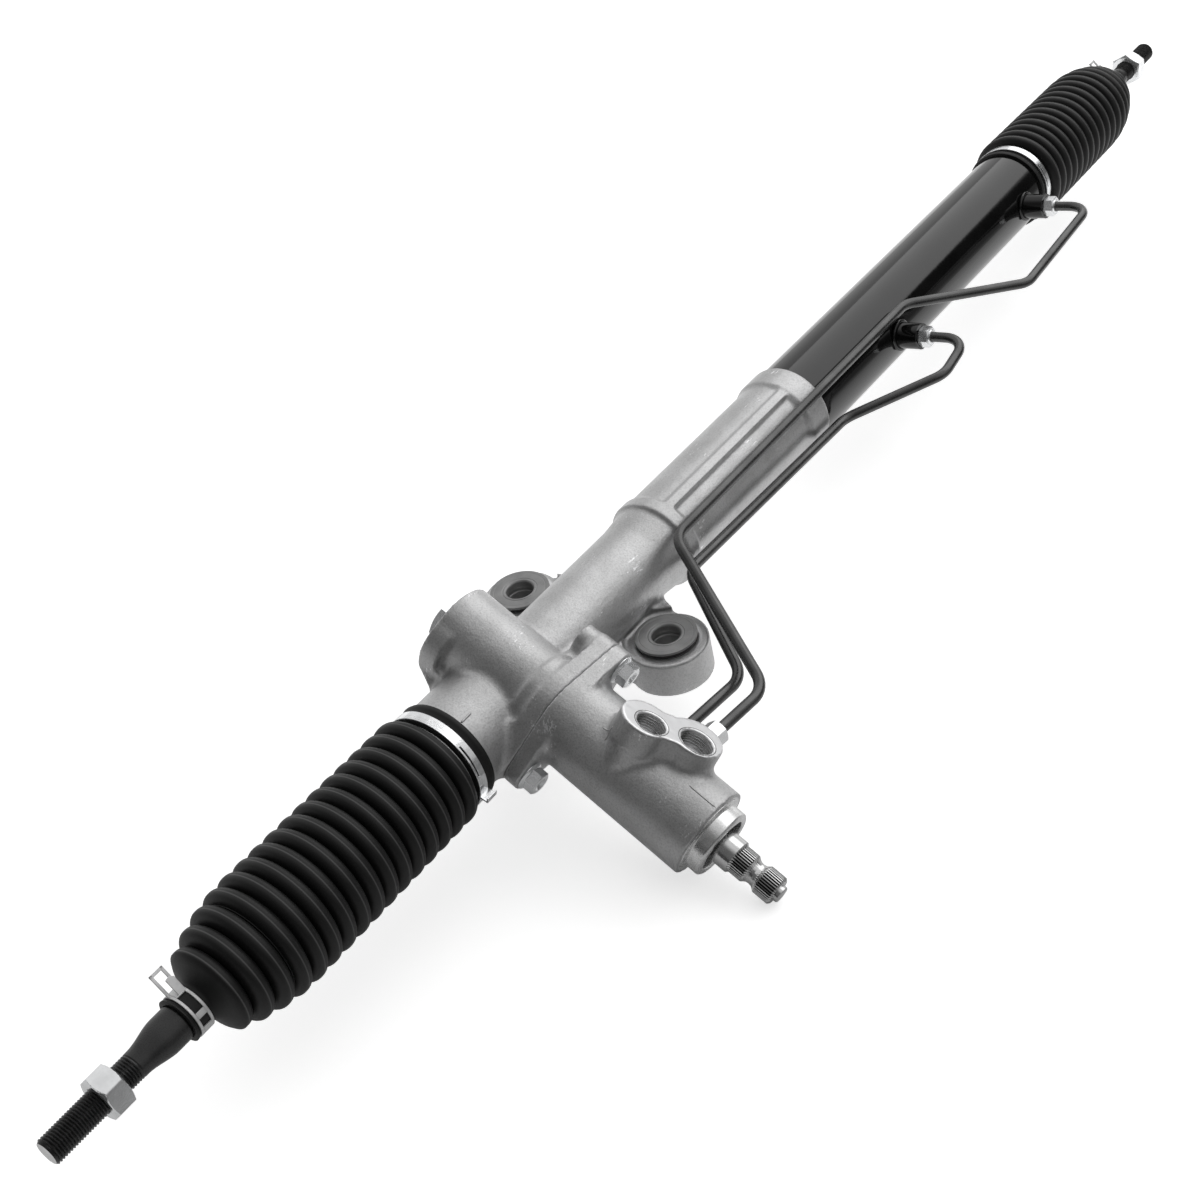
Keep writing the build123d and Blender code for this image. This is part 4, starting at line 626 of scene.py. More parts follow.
def on_skin(casting_made, place, degrees_round, station):
    """The point of a casting's skin at an angle and a station about a place's Z."""
    angle = radians(degrees_round)
    out = Vector((cos(angle), sin(angle), 0))
    start = place @ (out * LOOK_FROM_R + Vector((0, 0, station)))
    return casting_made.ray_cast(start, place.to_3x3() @ -out)[1]


def seam(name, path, half_width):
    """A raised line left by the mould: a thin bead on the skin, pointed at both ends."""
    sides = 8
    points = [path[0]]
    for before, here, after in zip(path, path[1:], path[2:]):
        along_rack = abs(after.y - before.y) < 1e-4
        across = placed(here, after - before, PINION_AXIS if along_rack else X_AXIS)
        for side in range(sides):
            turn = 2 * pi * side / sides
            points.append(across @ Vector((half_width * cos(turn), half_width * sin(turn), 0)))
    points.append(path[-1])
    last_ring = len(points) - 1 - sides
    faces = []
    for side in range(sides):
        beside = (side + 1) % sides
        faces.append((0, 1 + side, 1 + beside))
        for first in range(1, last_ring, sides):
            faces.append((first + side, first + sides + side, first + sides + beside, first + beside))
        faces.append((last_ring + side, len(points) - 1, last_ring + beside))
    attach(piece(name, points, faces, Matrix.Identity(4), CAST, crease=60), "valve_housing")


FINE_SEAM = 0.0004
NECK_SEAM = 0.0007
MARK_STEP = 0.001
MARK_TOP = 0.0690         # the short mark on the valve housing turns round here


def seams():
    """Mould lines at degrees round the pinion's or the rack's line, and stations along it."""
    def along(casting_made, place, degrees_round, stations):
        return [on_skin(casting_made, place, degrees_round, station) for station in stations]

    stations = steps_between(0.1150, VALVE_FACE_END - 0.0012, 0.002)
    seam("valve_parting_line", along(VALVE_CASTING, PINION, 93, stations), FINE_SEAM)
    stations = steps_between(0.0630, MARK_TOP, MARK_STEP)
    seam("valve_mark_along", along(VALVE_CASTING, PINION, 106, stations), FINE_SEAM)
    turns = steps_between(103, 117, 2)
    seam("valve_mark_round", [on_skin(VALVE_CASTING, PINION, turn, MARK_TOP) for turn in turns], FINE_SEAM)
    stations = steps_between(-0.1345, -0.1258, MARK_STEP)
    seam("neck_mark", along(HOUSING_CASTING, RACK, 122, stations), NECK_SEAM)


seams()


# ---------------- ports
PORT_LINING = 0.0005      # how far the lining reaches into the casting beyond the chamfer
PORT_DRILL_SHARE = 0.40   # radius of the drill mark in a port's floor, as a share of the port's


def port_lining(port, place):
    """A hose port's thread, with a chamfer at its mouth; its dark grey is painted shade inside the bore."""
    radius, depth = size_of(port)
    mouth = depth / 2
    thread_start = mouth - PORT_CHAMFER - 0.0004
    outer_r = radius + PORT_CHAMFER + PORT_LINING

    def reach(station, angle, at):
        if at > radius or station > thread_start:
            return at
        return at - THREAD_DEPTH * thread_share(station, angle)

    outline = [(-mouth, outer_r), (mouth, outer_r), (mouth, radius + PORT_CHAMFER)]
    outline.append((mouth - PORT_CHAMFER, radius + 0.0001))
    outline += [(station, radius) for station in steps_between(thread_start, -mouth, THREAD_STEP)]
    attach(
        turned(port + "_thread", outline, place, SHADED_PORT_THREAD, sides=72, shape=reach, crease=50),
        "valve_housing",
    )


def port_floor(port, place):
    """A hose port's floor, with a shallow drill mark in its middle; it is painted near black as painted
    shade.
    """
    radius, depth = size_of(port)
    level = -depth / 2
    floor_r = radius - 0.0002
    drill_r = radius * PORT_DRILL_SHARE
    outline = [(level - 0.0006, 0), (level - 0.0006, floor_r), (level + 0.0002, floor_r)]
    outline += [(level - 0.0002, radius * 0.45), (level - 0.0005, drill_r), (level - 0.0005, 0)]
    attach(turned(port + "_floor", outline, place, PORT_FLOOR_SHADE, sides=64), "valve_housing")


for port, place in PORTS.items():
    port_lining(port, place)
    port_floor(port, place)


# ---------------- bushes
BUSH_FLANGE_R = 0.0176
RUBBER_BULGE = 0.0006
RUBBER_FOOT_R = BUSH_SHELL_R - 0.0012
RUBBER_EDGE_R = BUSH_SHELL_R + 0.0004 - RUBBER_BULGE


def bush_sleeve(name, place):
    """Flanged sleeve, drawn down from the seat: a fine groove in its flange and one in its bore."""
    bore_r, length = size_of(name)
    sleeve_r = bore_r + 0.002
    groove_r = bore_r + 0.0007
    under = -BUSH_FLANGE_THICK
    groove = 0.0003
    profile = eased([
        (-0.0002, bore_r + 0.0006), (0, bore_r + 0.0010), (0, sleeve_r), (-groove, sleeve_r + 0.0002),
        (0, sleeve_r + 0.0006), (0, BUSH_FLANGE_R - 0.0026), (-groove / 2, BUSH_FLANGE_R - 0.0023),
        (0, BUSH_FLANGE_R - 0.0020), (0, BUSH_FLANGE_R), (under, BUSH_FLANGE_R), (under, sleeve_r),
        (-length, sleeve_r), (-length, bore_r + 0.0004), (-length + 0.0004, bore_r),
        (-0.0075, bore_r), (-0.0070, groove_r), (-0.0050, groove_r), (-0.0045, bore_r), (-0.0009, bore_r),
    ], 0.0003)
    return turned(name + "_sleeve", profile, place, BUSH_GREY)


def bush_rubber(name, place):
    """Rubber round the sleeve, whose lip bulges out at both ends of the shell."""
    bore_r, length = size_of(name)
    inner_r = bore_r + 0.0021
    under = -BUSH_FLANGE_THICK

    def bulge(centre):
        turns = [pi / 2 - pi * step / 8 for step in range(9)]
        half = BUSH_LIP / 2
        return [(centre + half * sin(turn), RUBBER_EDGE_R + RUBBER_BULGE * cos(turn)) for turn in turns]

    profile = [(under, inner_r), (under, RUBBER_EDGE_R)]
    profile += bulge(under - BUSH_LIP / 2)
    profile += [(under - BUSH_LIP, RUBBER_FOOT_R), (-length - under + BUSH_LIP, RUBBER_FOOT_R)]
    profile += bulge(-length - under + BUSH_LIP / 2)
    profile.append((-length - under, inner_r))
    return turned(name + "_rubber", profile, place, RUBBER)


dress(joined("bush_sleeve_pair", [bush_sleeve(*bush) for bush in BUSHES.items()]), "bush_sleeves")
dress(joined("bush_rubber_pair", [bush_rubber(*bush) for bush in BUSHES.items()]), "bush_rubbers")


# ---------------- pinion line
SHAFT_R = 0.0093
NUB_R = 0.0046
SPLINE_TEETH = 36
SPLINE_DEPTH = 0.0013
SPLINE_LAND = 0.35        # flat top of a tooth, as a share of the pitch
SPLINE_FLANK = 2.4
LONG_SPLINE = 0.0075
CLAMP_GROOVE = 0.008      # length of the clamp bolt's groove between the splines
GROOVE_EDGE = [(0.0010, 0.0072), (0.0022, 0.0064), (0.0040, 0.0061)]    # along it and radius


def shaft_with_splines():
    """Input shaft: plain length, long splines, the clamp bolt's groove, end splines and a nub; the spline
    gaps are painted black as painted shade.
    """
    start, tip, _ = extent("input_shaft", PINION)
    spline_r, spline_length = size_of("input_spline")
    end_middle = (PINION.inverted() @ Vector(mounts["input_spline"]["pos_m"])).z
    end_start = end_middle - spline_length / 2
    end_stop = end_middle + spline_length / 2
    long_stop = end_start - CLAMP_GROOVE
    long_start = long_stop - LONG_SPLINE
    core_r = spline_r * 0.7
    root_r = spline_r * 0.8

    def reach(station, angle, radius):
        if not (long_start < station < end_stop + 0.0011) or radius < root_r:
            return radius
        wave = abs((angle * SPLINE_TEETH / (2 * pi)) % 1.0 - 0.5) * 2
        groove = min(1.0, max(0.0, (wave - SPLINE_LAND) * SPLINE_FLANK))
        return max(min(radius, spline_r - SPLINE_DEPTH * groove), root_r)

    def splined(first, last):
        return [(station, spline_r) for station in steps_between(first, last, 0.0015)]

    outline = [(start, 0), (start, core_r), (long_start - 0.012, core_r), (long_start - 0.012, SHAFT_R)]
    outline += [(long_start - 0.0012, SHAFT_R), (long_start + 0.0001, spline_r)]
    outline += splined(long_start + 0.0005, long_stop)
    outline += [(long_stop + along, radius) for along, radius in GROOVE_EDGE]
    outline += [(end_start - along, radius) for along, radius in reversed(GROOVE_EDGE)]
    outline += splined(end_start, end_stop)
    outline += [(end_stop + 0.0010, spline_r - 0.0010), (end_stop + 0.0010, NUB_R)]
    outline += [(tip - 0.0005, NUB_R), (tip, NUB_R - 0.0005), (tip, 0)]
    made = turned("splined_shaft", outline, PINION, BRIGHT, sides=432, shape=reach)
    inverse = PINION.inverted()
    gap_r = spline_r - SPLINE_DEPTH * 0.45

    def in_a_shaded_gap(point):
        local = inverse @ point
        in_splines = long_start < local.z < long_stop or end_start < local.z < end_stop
        return in_splines and hypot(local.x, local.y) < gap_r

    # The faces deep in the spline gaps get black steel: painted shade in the grooves.
    repaint(made, ROD_BLACK, in_a_shaded_gap)
    dress(made, "input_shaft")


def closing_ring():
    """Screwed ring round the shaft: chamfered edges and a shallow groove in its side."""
    start, end, _ = extent("retaining_ring", PINION)
    outer_r = 0.0192
    hole_r = 0.0148
    step = VALVE_FACE_END
    outline = eased([
        (start, hole_r), (start, outer_r), (step, outer_r), (step, outer_r + 0.0030),
        (step + 0.0006, outer_r + 0.0028), (step + 0.0011, outer_r + 0.0004), (step + 0.0015, outer_r),
        (end - 0.0012, outer_r), (end, outer_r - 0.0014), (end, hole_r + 0.0006), (end - 0.0006, hole_r),
    ], 0.0005)
    dress(turned("closing_ring", outline, PINION, SATIN_ZINC), "retaining_ring")


def shaft_seal():
    """Dust seal: a flat face with a raised lip against the shaft."""
    start, end, outer_r = extent("dust_seal", PINION)
    shaft_r = 0.0094
    outline = eased([
        (start, shaft_r), (start, outer_r), (end, outer_r), (end - 0.0002, outer_r - 0.0014),
        (end - 0.0016, outer_r - 0.0024), (end - 0.0016, shaft_r + 0.0022), (end + 0.0001, shaft_r + 0.0014),
        (end + 0.0001, shaft_r),
    ], 0.0004)
    dress(turned("shaft_dust_seal", outline, PINION, RUBBER), "dust_seal")


def end_plug():
    """Plug at the far end of the pinion line: a hexagon head round a dished core."""
    start, end, _ = extent("pinion_end_cap", PINION)
    core_r = 0.0112
    head = hexagon_nut("end_plug_head", start, start + 0.0071, 0.027, 0.0105, PINION, ZINC)
    dish = eased([
        (start + 0.0012, 0), (start + 0.0012, 0.0100), (start + 0.0004, core_r), (end, core_r), (end, 0),
    ], 0.0004)
    core = turned("end_plug_core", dish, PINION, ZINC)
    dress(joined("end_plug", [head, core]), "pinion_end_cap")


SMALL_NUT_FLATS = 0.012   # across the flats of the flange bolts and of the pipe nuts
BOLT_SPREAD = 0.036       # from the pinion's line to a bolt
BOLT_TURN = radians(28)
BOLT_HEAD = 0.0065
BOLT_R = 0.004


def flange_bolt_pieces():
    """Flanged hexagon bolts: a washer face, a chamfered head and a dished top."""
    low, high, _ = extent("flange_bolts", PINION)
    head = high - BOLT_HEAD
    hollow = high - 0.0012
    bolts = []
    for number, side in enumerate((-1, 1)):
        place = PINION @ Matrix.Rotation(BOLT_TURN, 4, "Z") @ Matrix.Translation((side * BOLT_SPREAD, 0, 0))
        washer = eased([
            (low, 0), (low, BOLT_R), (head - 0.0015, BOLT_R), (head - 0.0015, 0.0083),
            (head - 0.0008, 0.0085), (head + 0.0006, 0.0066), (head + 0.0006, 0),
        ], 0.0003)
        dish = [(head, 0), (head, 0.0036), (high - 0.0002, 0.0036), (hollow, 0.0024), (hollow, 0)]
        bolts.append(turned(f"bolt_washer_{number}", washer, place, ZINC))
        bolts.append(hexagon_nut(f"bolt_head_{number}", head, high, SMALL_NUT_FLATS, 0.0032, place, ZINC))
        bolts.append(turned(f"bolt_dish_{number}", dish, place, ZINC))
    dress(joined("flange_bolt_pair", bolts), "flange_bolts")


shaft_with_splines()
closing_ring()
shaft_seal()
end_plug()
flange_bolt_pieces()


# ---------------- pipe nuts
def points_of(node):
    return [vertex.co.copy() for vertex in frame["nodes"][node].data.vertices]


def nearest_middle(points, reach):
    """Middle of the points that reach least far, to half a millimetre."""
    limit = min(reach(point) for point in points) + 0.0005
    near = [point for point in points if reach(point) < limit]
    return sum(near, Vector()) / len(near)


def valve_end(pipe):
    """Middle of a pipe's end inside the valve housing."""
    inverse = PINION.inverted()
    return nearest_middle(points_of(pipe), lambda point: (inverse @ point).x)


def tube_end(pipe):
    """Middle of a pipe's end inside its tube port."""
    inverse = RACK.inverted()
    pipe_end_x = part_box(pipe)[1].x
    points = [point for point in points_of(pipe) if point.x > pipe_end_x - 0.0066]
    return nearest_middle(points, lambda point: hypot(*(inverse @ point).xy))


PIPE_HOLE_R = 0.0033
WELD_RING_R = 0.0090


def union_nut(name, place, start, head):
    """Pipe nut: a chamfered hexagon with a collar where the pipe leaves it."""
    end = start + head
    nut = hexagon_nut(name, start, end, SMALL_NUT_FLATS, PIPE_HOLE_R, place, ZINC)
    collar = eased([
        (end - 0.001, PIPE_HOLE_R), (end - 0.001, 0.0050), (end + 0.0008, 0.0046),
        (end + 0.0008, PIPE_HOLE_R),
    ], 0.0003)
    return [nut, turned(name + "_collar", collar, place, ZINC, sides=48)]


def port_weld(name, place, skin):
    """A weld ring where a port stands on the tube's skin."""
    turns = [2 * pi * step / 12 for step in range(12)]
    bead = [(skin + 0.0006 + 0.0011 * cos(turn), WELD_RING_R + 0.0013 * sin(turn)) for turn in turns]
    attach(turned(name, bead, place, TUBE_PAINT, sides=72), "tube_port_bosses")


def pipe_nuts():
    """Nuts at both ends of both pipes, with a weld round each tube port."""
    valve_nuts = []
    tube_nuts = []
    across = PINION.to_3x3().col[0]
    for pipe in ("right_line_pipe", "left_line_pipe"):
        place = placed(valve_end(pipe), across, PINION_AXIS)
        valve_nuts += union_nut(pipe + "_valve_nut", place, 0.007, 0.011)
        end = tube_end(pipe)
        foot = Vector((end.x, RACK_DEPTH, RACK_HEIGHT))
        place = placed(end, end - foot, X_AXIS)
        tube_nuts += union_nut(pipe + "_tube_nut", place, 0.009, 0.007)
        port_weld(pipe + "_port_weld", place, TUBE_R - (end - foot).length)
    dress(joined("valve_union_nuts", valve_nuts), "valve_pipe_nuts")
    dress(joined("tube_union_nuts", tube_nuts), "tube_pipe_nuts")


pipe_nuts()


# ---------------- tie rods
ROD_THREAD = 0.052        # length of a rod's thread
ROD_R = 0.0097            # where the rod is thickest, beside its taper
BOOT_GROOVE_R = 0.0086
SHANK_R = 0.0090
ROD_NECK_R = 0.0065
BALL_R = 0.0127
JAM_NUT_FLATS = 0.022


def tie_rod(node, taper, groove):
    """Rolled thread, taper, boot groove, shank, neck and ball, measured from the tip."""
    low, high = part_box(node)
    tip = low.x if "left" in node else high.x
    side = 1 if tip > 0 else -1
    thread_r = size_of("left_rod_thread")[0]
    ball_middle = (high.x - low.x) - BALL_R

    def reach(station, angle, radius):
        from_tip = abs(tip - station)
        if radius < thread_r * 0.9 or from_tip > ROD_THREAD or from_tip < 0.0004:
            return radius
        fade = min(1.0, (ROD_THREAD - from_tip) / 0.003, (from_tip + 0.0004) / 0.0016)
        return radius - THREAD_DEPTH * fade * thread_share(station, angle)

    def at(from_tip):
        return tip - side * from_tip

    outline = [(tip, 0), (tip, thread_r - 0.0011), (at(0.0011), thread_r)]
    outline += [(station, thread_r) for station in steps_between(at(0.0014), at(ROD_THREAD), THREAD_STEP)]
    taper_start = ROD_THREAD + 0.001
    for step in range(9):
        share = step / 8
        radius = thread_r + (ROD_R - thread_r) * share * share * (3 - 2 * share)
        outline.append((at(taper_start + (taper - taper_start) * share), radius))
    groove_end = groove + 0.014
    outline += [(at(groove - 0.0004), ROD_R), (at(groove), BOOT_GROOVE_R), (at(groove_end), BOOT_GROOVE_R)]
    outline += [(at(groove_end + 0.0004), SHANK_R), (at(ball_middle - 0.030), SHANK_R)]
    outline.append((at(ball_middle - 0.024), ROD_NECK_R))
    steps = 14
    first = atan2(ROD_NECK_R, sqrt(BALL_R ** 2 - ROD_NECK_R ** 2))
    for step in range(steps):
        angle = first + (pi - first) * step / steps
        outline.append((at(ball_middle - BALL_R * cos(angle)), BALL_R * sin(angle)))
    outline.append((at(ball_middle + BALL_R), 0))
    made = turned(node + "_turned", outline, RACK, ROD_BLACK, sides=72, shape=reach, crease=34)
    repaint(made, BRIGHT, lambda point: abs(point.x - tip) < 0.0001)
    dress(made, node)


def jam_nut(node, turned_by):
    low, high, _ = extent(node, RACK)
    bore_r = size_of("left_rod_thread")[0]
    dress(hexagon_nut(node + "_hex", low, high, JAM_NUT_FLATS, bore_r, RACK, ZINC, radians(turned_by)), node)


tie_rod("left_tie_rod", 0.070, 0.078)
tie_rod("right_tie_rod", 0.062, 0.0655)
jam_nut("left_jam_nut", 47)
jam_nut("right_jam_nut", 30)


# ---------------- boots
BOOT_SIDES = 128
BOOT_RIDGES = 16
BOOT_CREST_R = 0.033
BOOT_FOLD = 0.0065        # depth of a fold below its ridges
BOOT_WALL = 0.0018
SHRINKING_RIDGES = 4      # the last ridges grow smaller, by this much in all
BOOT_SHRINK = 0.0092
FIRST_RIDGE = 0.0105      # from the middle of the large clamp
LAST_RIDGE = 0.014        # to the middle of the small clamp
RIDGES_ON_THE_RACK_SIDE = 13
CREST_BAND = 0.00143      # half the width of the painted highlight band on a ridge
SMALL_CUFF_R = 0.0112
# Each cuff's edge: how far past its clamp's middle a point is, and how far it stands out.
LARGE_CUFF = [
    (-0.0095, -0.0004), (-0.0092, 0.0016), (-0.0078, 0.0021), (-0.0062, 0.0018),
    (-0.0052, 0.0010), (0.0034, 0.0010), (0.0040, 0.0016),
]
SMALL_CUFF = [(0.0046, 0), (0.0050, 0.0008), (0.0062, 0.0010), (0.0065, 0.0004)]


def crest_radius(number):
    past = max(0, number - (BOOT_RIDGES - SHRINKING_RIDGES)) / SHRINKING_RIDGES
    return BOOT_CREST_R - BOOT_SHRINK * past ** 2


def fold_radius(number):
    """Bottom of the fold after a ridge."""
    if number < 1:
        return BOOT_CREST_R - BOOT_FOLD
    return (crest_radius(number) + crest_radius(min(number + 1, BOOT_RIDGES))) / 2 - BOOT_FOLD


def ridge_pitch(length):
    return (length - FIRST_RIDGE - LAST_RIDGE) / (BOOT_RIDGES - 1)


def boot_skin(cuff_r, length):
    """Outside of a boot as (distance from the large clamp, radius, share of the crest's painted highlight)
    points.
    """
    pitch = ridge_pitch(length)
    skin = [(distance, cuff_r + proud, 0) for distance, proud in LARGE_CUFF]
    skin.append((FIRST_RIDGE - pitch / 2, min(cuff_r + 0.0022, fold_radius(0)), 0))
    half = 9
    for number in range(1, BOOT_RIDGES + 1):
        ridge = FIRST_RIDGE + pitch * (number - 1)
        crest = crest_radius(number)
        last = half if number < BOOT_RIDGES else 2
        for step in range(-half + 1, last + 1):
            share = step / half
            fold = fold_radius(number if step > 0 else number - 1)
            swell = (1 - abs(share) ** 2.6) ** 0.55
            # lit: share of the painted highlight along the crest
            lit = max(0.0, 1.0 - abs(share * pitch / 2) / CREST_BAND) ** 0.7
            skin.append((ridge + pitch / 2 * share, fold + (crest - fold) * swell, lit))
    cone_start = length - LAST_RIDGE + pitch * 0.2
    cone_end = length - 0.0058
    steps = 8
    last_r = skin[-1][1]
    for step in range(1, steps + 1):
        share = step / steps
        radius = last_r + (SMALL_CUFF_R - last_r) * (1 - (1 - share) ** 1.7)
        skin.append((cone_start + (cone_end - cone_start) * share, radius, 0))
    return skin + [(length + past, SMALL_CUFF_R + proud, 0) for past, proud in SMALL_CUFF]


def boot_half(name, skin, inner_end_r, to_station):
    """One closed length of a boot: its skin, and the same skin set back by the wall inside."""
    outer = [(to_station(distance), radius) for distance, radius, _ in skin]
    inner = [(to_station(distance), max(radius - BOOT_WALL, inner_end_r)) for distance, radius, _ in skin]
    made = turned(name, outer + inner[::-1], RACK, BOOT, sides=BOOT_SIDES, crease=60)
    lit = [share for _, _, share in skin] + [0] * len(skin)
    values = np.repeat(np.array(lit), BOOT_SIDES)
    made.data.attributes.new("crest_highlight", "FLOAT", "POINT").data.foreach_set("value", values)
    return made


def boot(node, large_clamp, small_clamp, cuff_r):
    """A boot in two closed lengths, split at a fold: one near the large clamp, the other towards the small
    clamp.
    """
    start = middle(large_clamp).x
    end = middle(small_clamp).x
    side = 1 if end > start else -1
    length = abs(end - start)
    split = FIRST_RIDGE + ridge_pitch(length) * (RIDGES_ON_THE_RACK_SIDE - 0.5)
    skin = boot_skin(cuff_r, length)
    near = [point for point in skin if point[0] < split + 1e-6]
    far = [point for point in skin if point[0] > split - 1e-6]

    def to_station(distance):
        return start + side * distance

    near_made = boot_half(node + "_near", near, cuff_r - 0.0006, to_station)
    far_made = boot_half(node + "_far", far, 0.0088, to_station)
    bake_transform(near_made)
    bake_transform(far_made)
    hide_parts(node)


boot("left_boot", "left_large_clamp", "left_small_clamp", NECK_R)
boot("right_boot", "right_large_clamp", "right_small_clamp", TUBE_R)


# ---------------- clamps
def above_front(degrees_above):
    """Angle about the rack's line of a direction so many degrees above the front."""
    return radians(180 - degrees_above)


BAND_EDGE = 0.00018       # bevel of a band's edges
PLATE_EDGE = 0.22         # and of a plate's, as a share of its thickness
ALL_ROUND = (-180, 180)
CLAMP_THICK = 0.0009      # of the small clamps' tabs and the large ones' fold


def arc_block(name, stations, radii, angles, material):
    """A curved strip between two stations, two radii and two angles above the front."""
    (low, high), (inner_r, outer_r), (from_angle, to_angle) = stations, radii, angles
    count = max(2, round(abs(to_angle - from_angle) / 3))
    points = []
    for step in range(count + 1):
        angle = above_front(from_angle + (to_angle - from_angle) * step / count)
        for station, radius in ((low, inner_r), (high, inner_r), (high, outer_r), (low, outer_r)):
            points.append((radius * cos(angle), radius * sin(angle), station))
    faces = [(0, 1, 2, 3), tuple(range(len(points) - 4, len(points)))]
    for step in range(count):
        for corner in range(4):
            following = (corner + 1) % 4
            first = 4 * step
            faces.append((first + corner, first + following, first + 4 + following, first + 4 + corner))
    return rounded(piece(name, points, faces, RACK, material), BAND_EDGE)


def rounded(made, width):
    """Bevel every sharp edge of a piece and keep the result as its mesh."""
    bevel = made.modifiers.new("bevel", "BEVEL")
    bevel.width = width
    bevel.segments = 2
    bevel.limit_method = "ANGLE"
    bevel.angle_limit = radians(40)
    return worked(made)


def slab(name, outline, thick, place, material):
    """A flat plate from an outline of (x, y) points, centred on its place's XY plane."""
    count = len(outline)
    points = [(x, y, -thick / 2) for x, y in outline] + [(x, y, thick / 2) for x, y in outline]
    faces = [tuple(range(count)), tuple(range(2 * count - 1, count - 1, -1))]
    for corner in range(count):
        following = (corner + 1) % count
        faces.append((corner, following, count + following, count + corner))
    return rounded(piece(name, points, faces, place, material), thick * PLATE_EDGE)


def tab_place(station, radius, degrees_above, lean):
    """A plate's place on a clamp: X along the rack, Y standing out from the band and leaning."""
    angle = above_front(degrees_above)
    foot = RACK @ Vector((radius * cos(angle), radius * sin(angle), station))
    standing = above_front(degrees_above + lean)
    out = RACK.to_3x3() @ Vector((cos(standing), sin(standing), 0))
    return placed(foot, X_AXIS.cross(out), X_AXIS)


def rectangle(left, right, bottom, top):
    return [(left, bottom), (right, bottom), (right, top), (left, top)]


def small_clamp(node, side):
    """Spring band with two windows, a loop tab and a shorter tab beside it."""
    low, high, _ = extent(node, RACK)
    inside = (low + 0.0015, high - 0.0015)
    radii = (0.01125, 0.01215)
    parts = [
        arc_block(node + "_near_edge", (low, inside[0]), radii, ALL_ROUND, CLAMP_STEEL),
        arc_block(node + "_far_edge", (inside[1], high), radii, ALL_ROUND, CLAMP_STEEL),
        arc_block(node + "_back", inside, radii, (88, 350), CLAMP_STEEL),
        arc_block(node + "_bridge", inside, radii, (17, 32), CLAMP_STEEL),
    ]
    half = (high - low) / 2
    station = (low + high) / 2
    bar = 0.0016
    length = 0.0125
    loop = {
        "_loop_side_0": rectangle(-half, bar - half, -0.001, length),
        "_loop_side_1": rectangle(half - bar, half, -0.001, length),
        "_loop_end": rectangle(-half, half, length - bar, length),
    }
    place = tab_place(station, radii[1], 112, 20)
    for name, outline in loop.items():
        parts.append(slab(node + name, outline, CLAMP_THICK, place, CLAMP_STEEL))
    place = tab_place(station + side * half * 0.35, radii[1], 92, 38)
    outline = [(-0.0022, -0.001), (0.0022, -0.001), (0.0022, 0.0075), (0.0006, 0.009), (-0.0022, 0.0085)]
    parts.append(slab(node + "_ear", outline, CLAMP_THICK, place, CLAMP_STEEL))
    dress(joined(node + "_band", parts), node)


def large_clamp(node, cuff_r):
    """Wide band: a long slot where its tongue slides, and a folded ear at its end."""
    low, high, _ = extent(node, RACK)
    radii = (cuff_r + 0.0011, cuff_r + 0.0021)
    slot_low = low + 0.0012
    slot_high = low + 0.0021
    filled = (slot_low - 0.0005, slot_high + 0.0005)
    parts = [
        arc_block(node + "_edge", (low, slot_low), radii, ALL_ROUND, ZINC),
        arc_block(node + "_body", (slot_high, high), radii, ALL_ROUND, ZINC),
        arc_block(node + "_fill", filled, radii, (42, 366), ZINC),
    ]
    station = (low + high) / 2
    half = (high - low) / 2 + 0.0008
    place = tab_place(station, radii[1], -20, 0)
    outline = [(-half, -0.0005), (half, -0.0005), (half, 0.0042), (half - 0.001, 0.0050), (-half, 0.0050)]
    parts.append(slab(node + "_ear", outline, 0.0010, place, ZINC))
    place = tab_place(station, radii[1] + 0.0046, -20, 90)
    parts.append(slab(node + "_fold", rectangle(-half, half, -0.0005, 0.0030), CLAMP_THICK, place, ZINC))
    dress(joined(node + "_band", parts), node)


small_clamp("left_small_clamp", 1)
small_clamp("right_small_clamp", -1)
large_clamp("left_large_clamp", NECK_R)
large_clamp("right_large_clamp", TUBE_R)


# ---------------- camera, light and floor
CAMERA_EYE = Vector((-0.5702, -0.5085, 0.6032))
CAMERA_RIGHT = Vector((0.57661, -0.79569, -0.18547))
CAMERA_UP = Vector((0.57950, 0.23828, 0.77937))
CAMERA_LENS = 53.25
CAMERA_SENSOR = 36.0


def add_camera():
    right = CAMERA_RIGHT.normalized()
    back = right.cross(CAMERA_UP).normalized()
    up = back.cross(right)
    data = bpy.data.cameras.new("camera")
    data.lens = CAMERA_LENS
    data.sensor_width = CAMERA_SENSOR
    data.clip_start = 0.01
    data.clip_end = 20.0
    made = scene_object("camera", data)
    turn = Matrix((right, up, back)).transposed().to_4x4()
    made.matrix_world = Matrix.Translation(CAMERA_EYE) @ turn
    bpy.context.scene.camera = made


LAMP_WAY = Vector((0.69, -0.13, 0.71)).normalized()
LAMP_DISTANCE = 2.4
LAMP_SIZE = (3.2, 2.0)
LAMP_POWER = 19


def add_softbox():
    """One wide soft lamp, high on the right, that looks at the middle of the object."""
    data = bpy.data.lights.new("softbox", "AREA")
    data.shape = "RECTANGLE"
    data.size, data.size_y = LAMP_SIZE
    data.energy = LAMP_POWER
    made = scene_object("softbox", data)
    made.location = (cad_low + cad_high) / 2 + LAMP_WAY * LAMP_DISTANCE
    made.rotation_mode = "QUATERNION"
    made.rotation_quaternion = LAMP_WAY.to_track_quat("Z", "Y")


def blend(tree, value, limits, low, high):
    return range_of(tree, value, low, high, limits, "SMOOTHSTEP")


def axes_of(tree, vector):
    split = new_node(tree, "SeparateXYZ", {"Vector": vector})
    return [split.outputs[axis] for axis in "XYZ"]


def for_camera(tree, others, camera):
    """One level where the camera looks, also through glass, and another for what lights the object."""
    path = tree.nodes.new("ShaderNodeLightPath").outputs
    seen = maths(tree, "MAXIMUM", path["Is Camera Ray"], path["Is Transmission Ray"])
    return blend(tree, seen, (0.0, 1.0), others, camera)


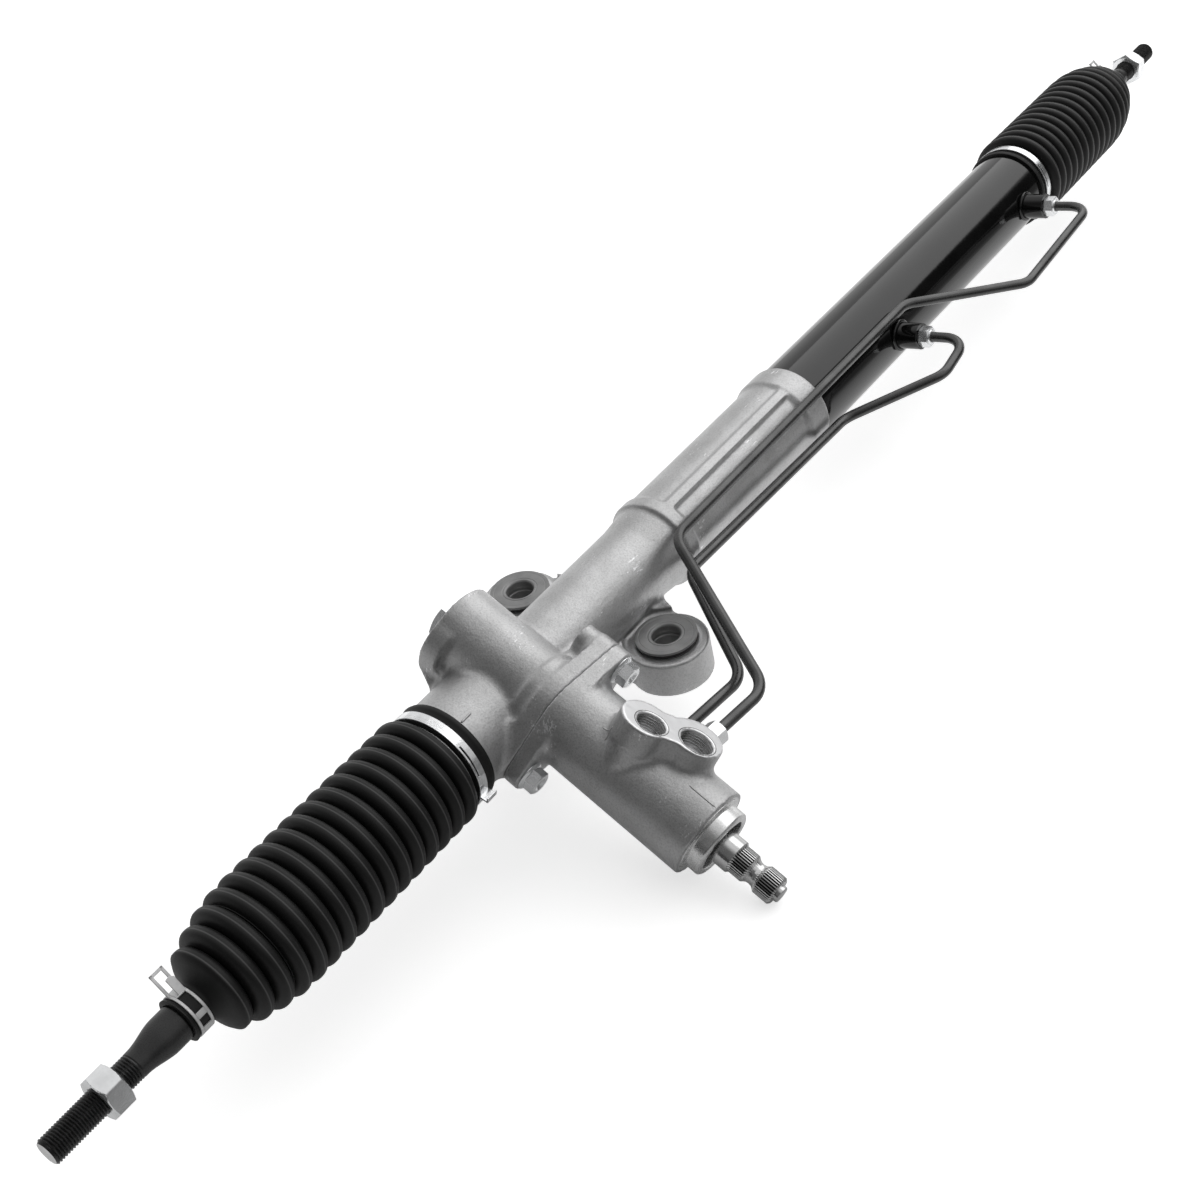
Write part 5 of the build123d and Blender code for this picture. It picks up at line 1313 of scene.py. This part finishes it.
# Brightness of the studio's sides, and where they meet, as the X, Y or Z of a direction.
CEILING = 0.75
CEILING_LEFT = 0.15
CEILING_LEFT_EDGE = (-0.55, 0.05)
CEILING_EDGE = (0.33, 0.42)
WALL_RIGHT = 0.80         # on the right and behind
WALL_FRONT = 0.50
WALL_GAP = 0.02           # dark gap between the front and right walls
WALL_LEFT = 0.06
WALL_BACK_LEFT = 0.40
GAP_EDGE = (0.52, 0.72)
RIGHT_EDGE = (-0.55, -0.10)
BACK_LEFT_EDGE = (0.20, 0.70)
MIDDLE_EDGE = (-0.30, 0.20)


def add_world():
    """Studio: a pale ceiling, dim on the left and in front, pale behind; the camera itself sees white."""
    world = bpy.data.worlds.new("studio")
    world.use_nodes = True
    bpy.context.scene.world = world
    tree = world.node_tree
    right, depth, height = axes_of(tree, new_node(tree, "TexCoord", {}).outputs["Generated"])
    front_wall = blend(tree, right, GAP_EDGE, WALL_FRONT, WALL_GAP)
    right_wall = blend(tree, depth, RIGHT_EDGE, front_wall, WALL_RIGHT)
    left_wall = blend(tree, depth, BACK_LEFT_EDGE, WALL_LEFT, WALL_BACK_LEFT)
    walls = blend(tree, right, MIDDLE_EDGE, left_wall, right_wall)
    ceiling = blend(tree, right, CEILING_LEFT_EDGE, CEILING_LEFT, CEILING)
    studio = blend(tree, height, CEILING_EDGE, walls, ceiling)
    strength = for_camera(tree, studio, 1.0)
    fill(tree, tree.nodes["Background"], {"Color": (1, 1, 1, 1), "Strength": strength})


FLOOR_WHITE = 0.9
FLOOR_LIFT = 0.62         # what the camera sees on top of the lit table
FLOOR_GLOW = 0.50         # and the painted light that the object gets from the floor on its right
GLOW_EDGE = (-0.15, 0.10)
FLOOR_PAINTED_SHADE = 0.22         # for the object, the floor is painted dark in front: painted shade
FRONT_EDGE = (-0.30, 0.0)
FLOOR_REACH = 30.0


def add_floor():
    """White table: it keeps the object's soft shadow, and the camera sees it brighter. For the object it is
    painted dark in front, as painted shade, and glows on its right, as painted light.
    """
    material, tree, shader = new_material("floor_white")
    right, depth, _ = axes_of(tree, new_node(tree, "NewGeometry", {}).outputs["Position"])
    lit = blend(tree, depth, FRONT_EDGE, FLOOR_PAINTED_SHADE, FLOOR_WHITE)
    glow = blend(tree, depth, FRONT_EDGE, 0.0, blend(tree, right, GLOW_EDGE, 0.0, FLOOR_GLOW))
    fill(tree, shader, {
        "Base Color": for_camera(tree, lit, FLOOR_WHITE),
        "Roughness": 0.9,
        "Specular IOR Level": 0.0,
        "Emission Color": (1, 1, 1, 1),
        "Emission Strength": for_camera(tree, glow, FLOOR_LIFT),
    })
    level = cad_low.z - 0.0005
    mesh = bpy.data.meshes.new("floor")
    corners = rectangle(-FLOOR_REACH, FLOOR_REACH, -FLOOR_REACH, FLOOR_REACH)
    mesh.from_pydata([(x, y, level) for x, y in corners], [], [(0, 1, 2, 3)])
    mesh.materials.append(material)
    scene_object("floor", mesh)


add_camera()
add_world()
add_floor()
add_softbox()
bpy.context.scene.view_settings.view_transform = "Standard"
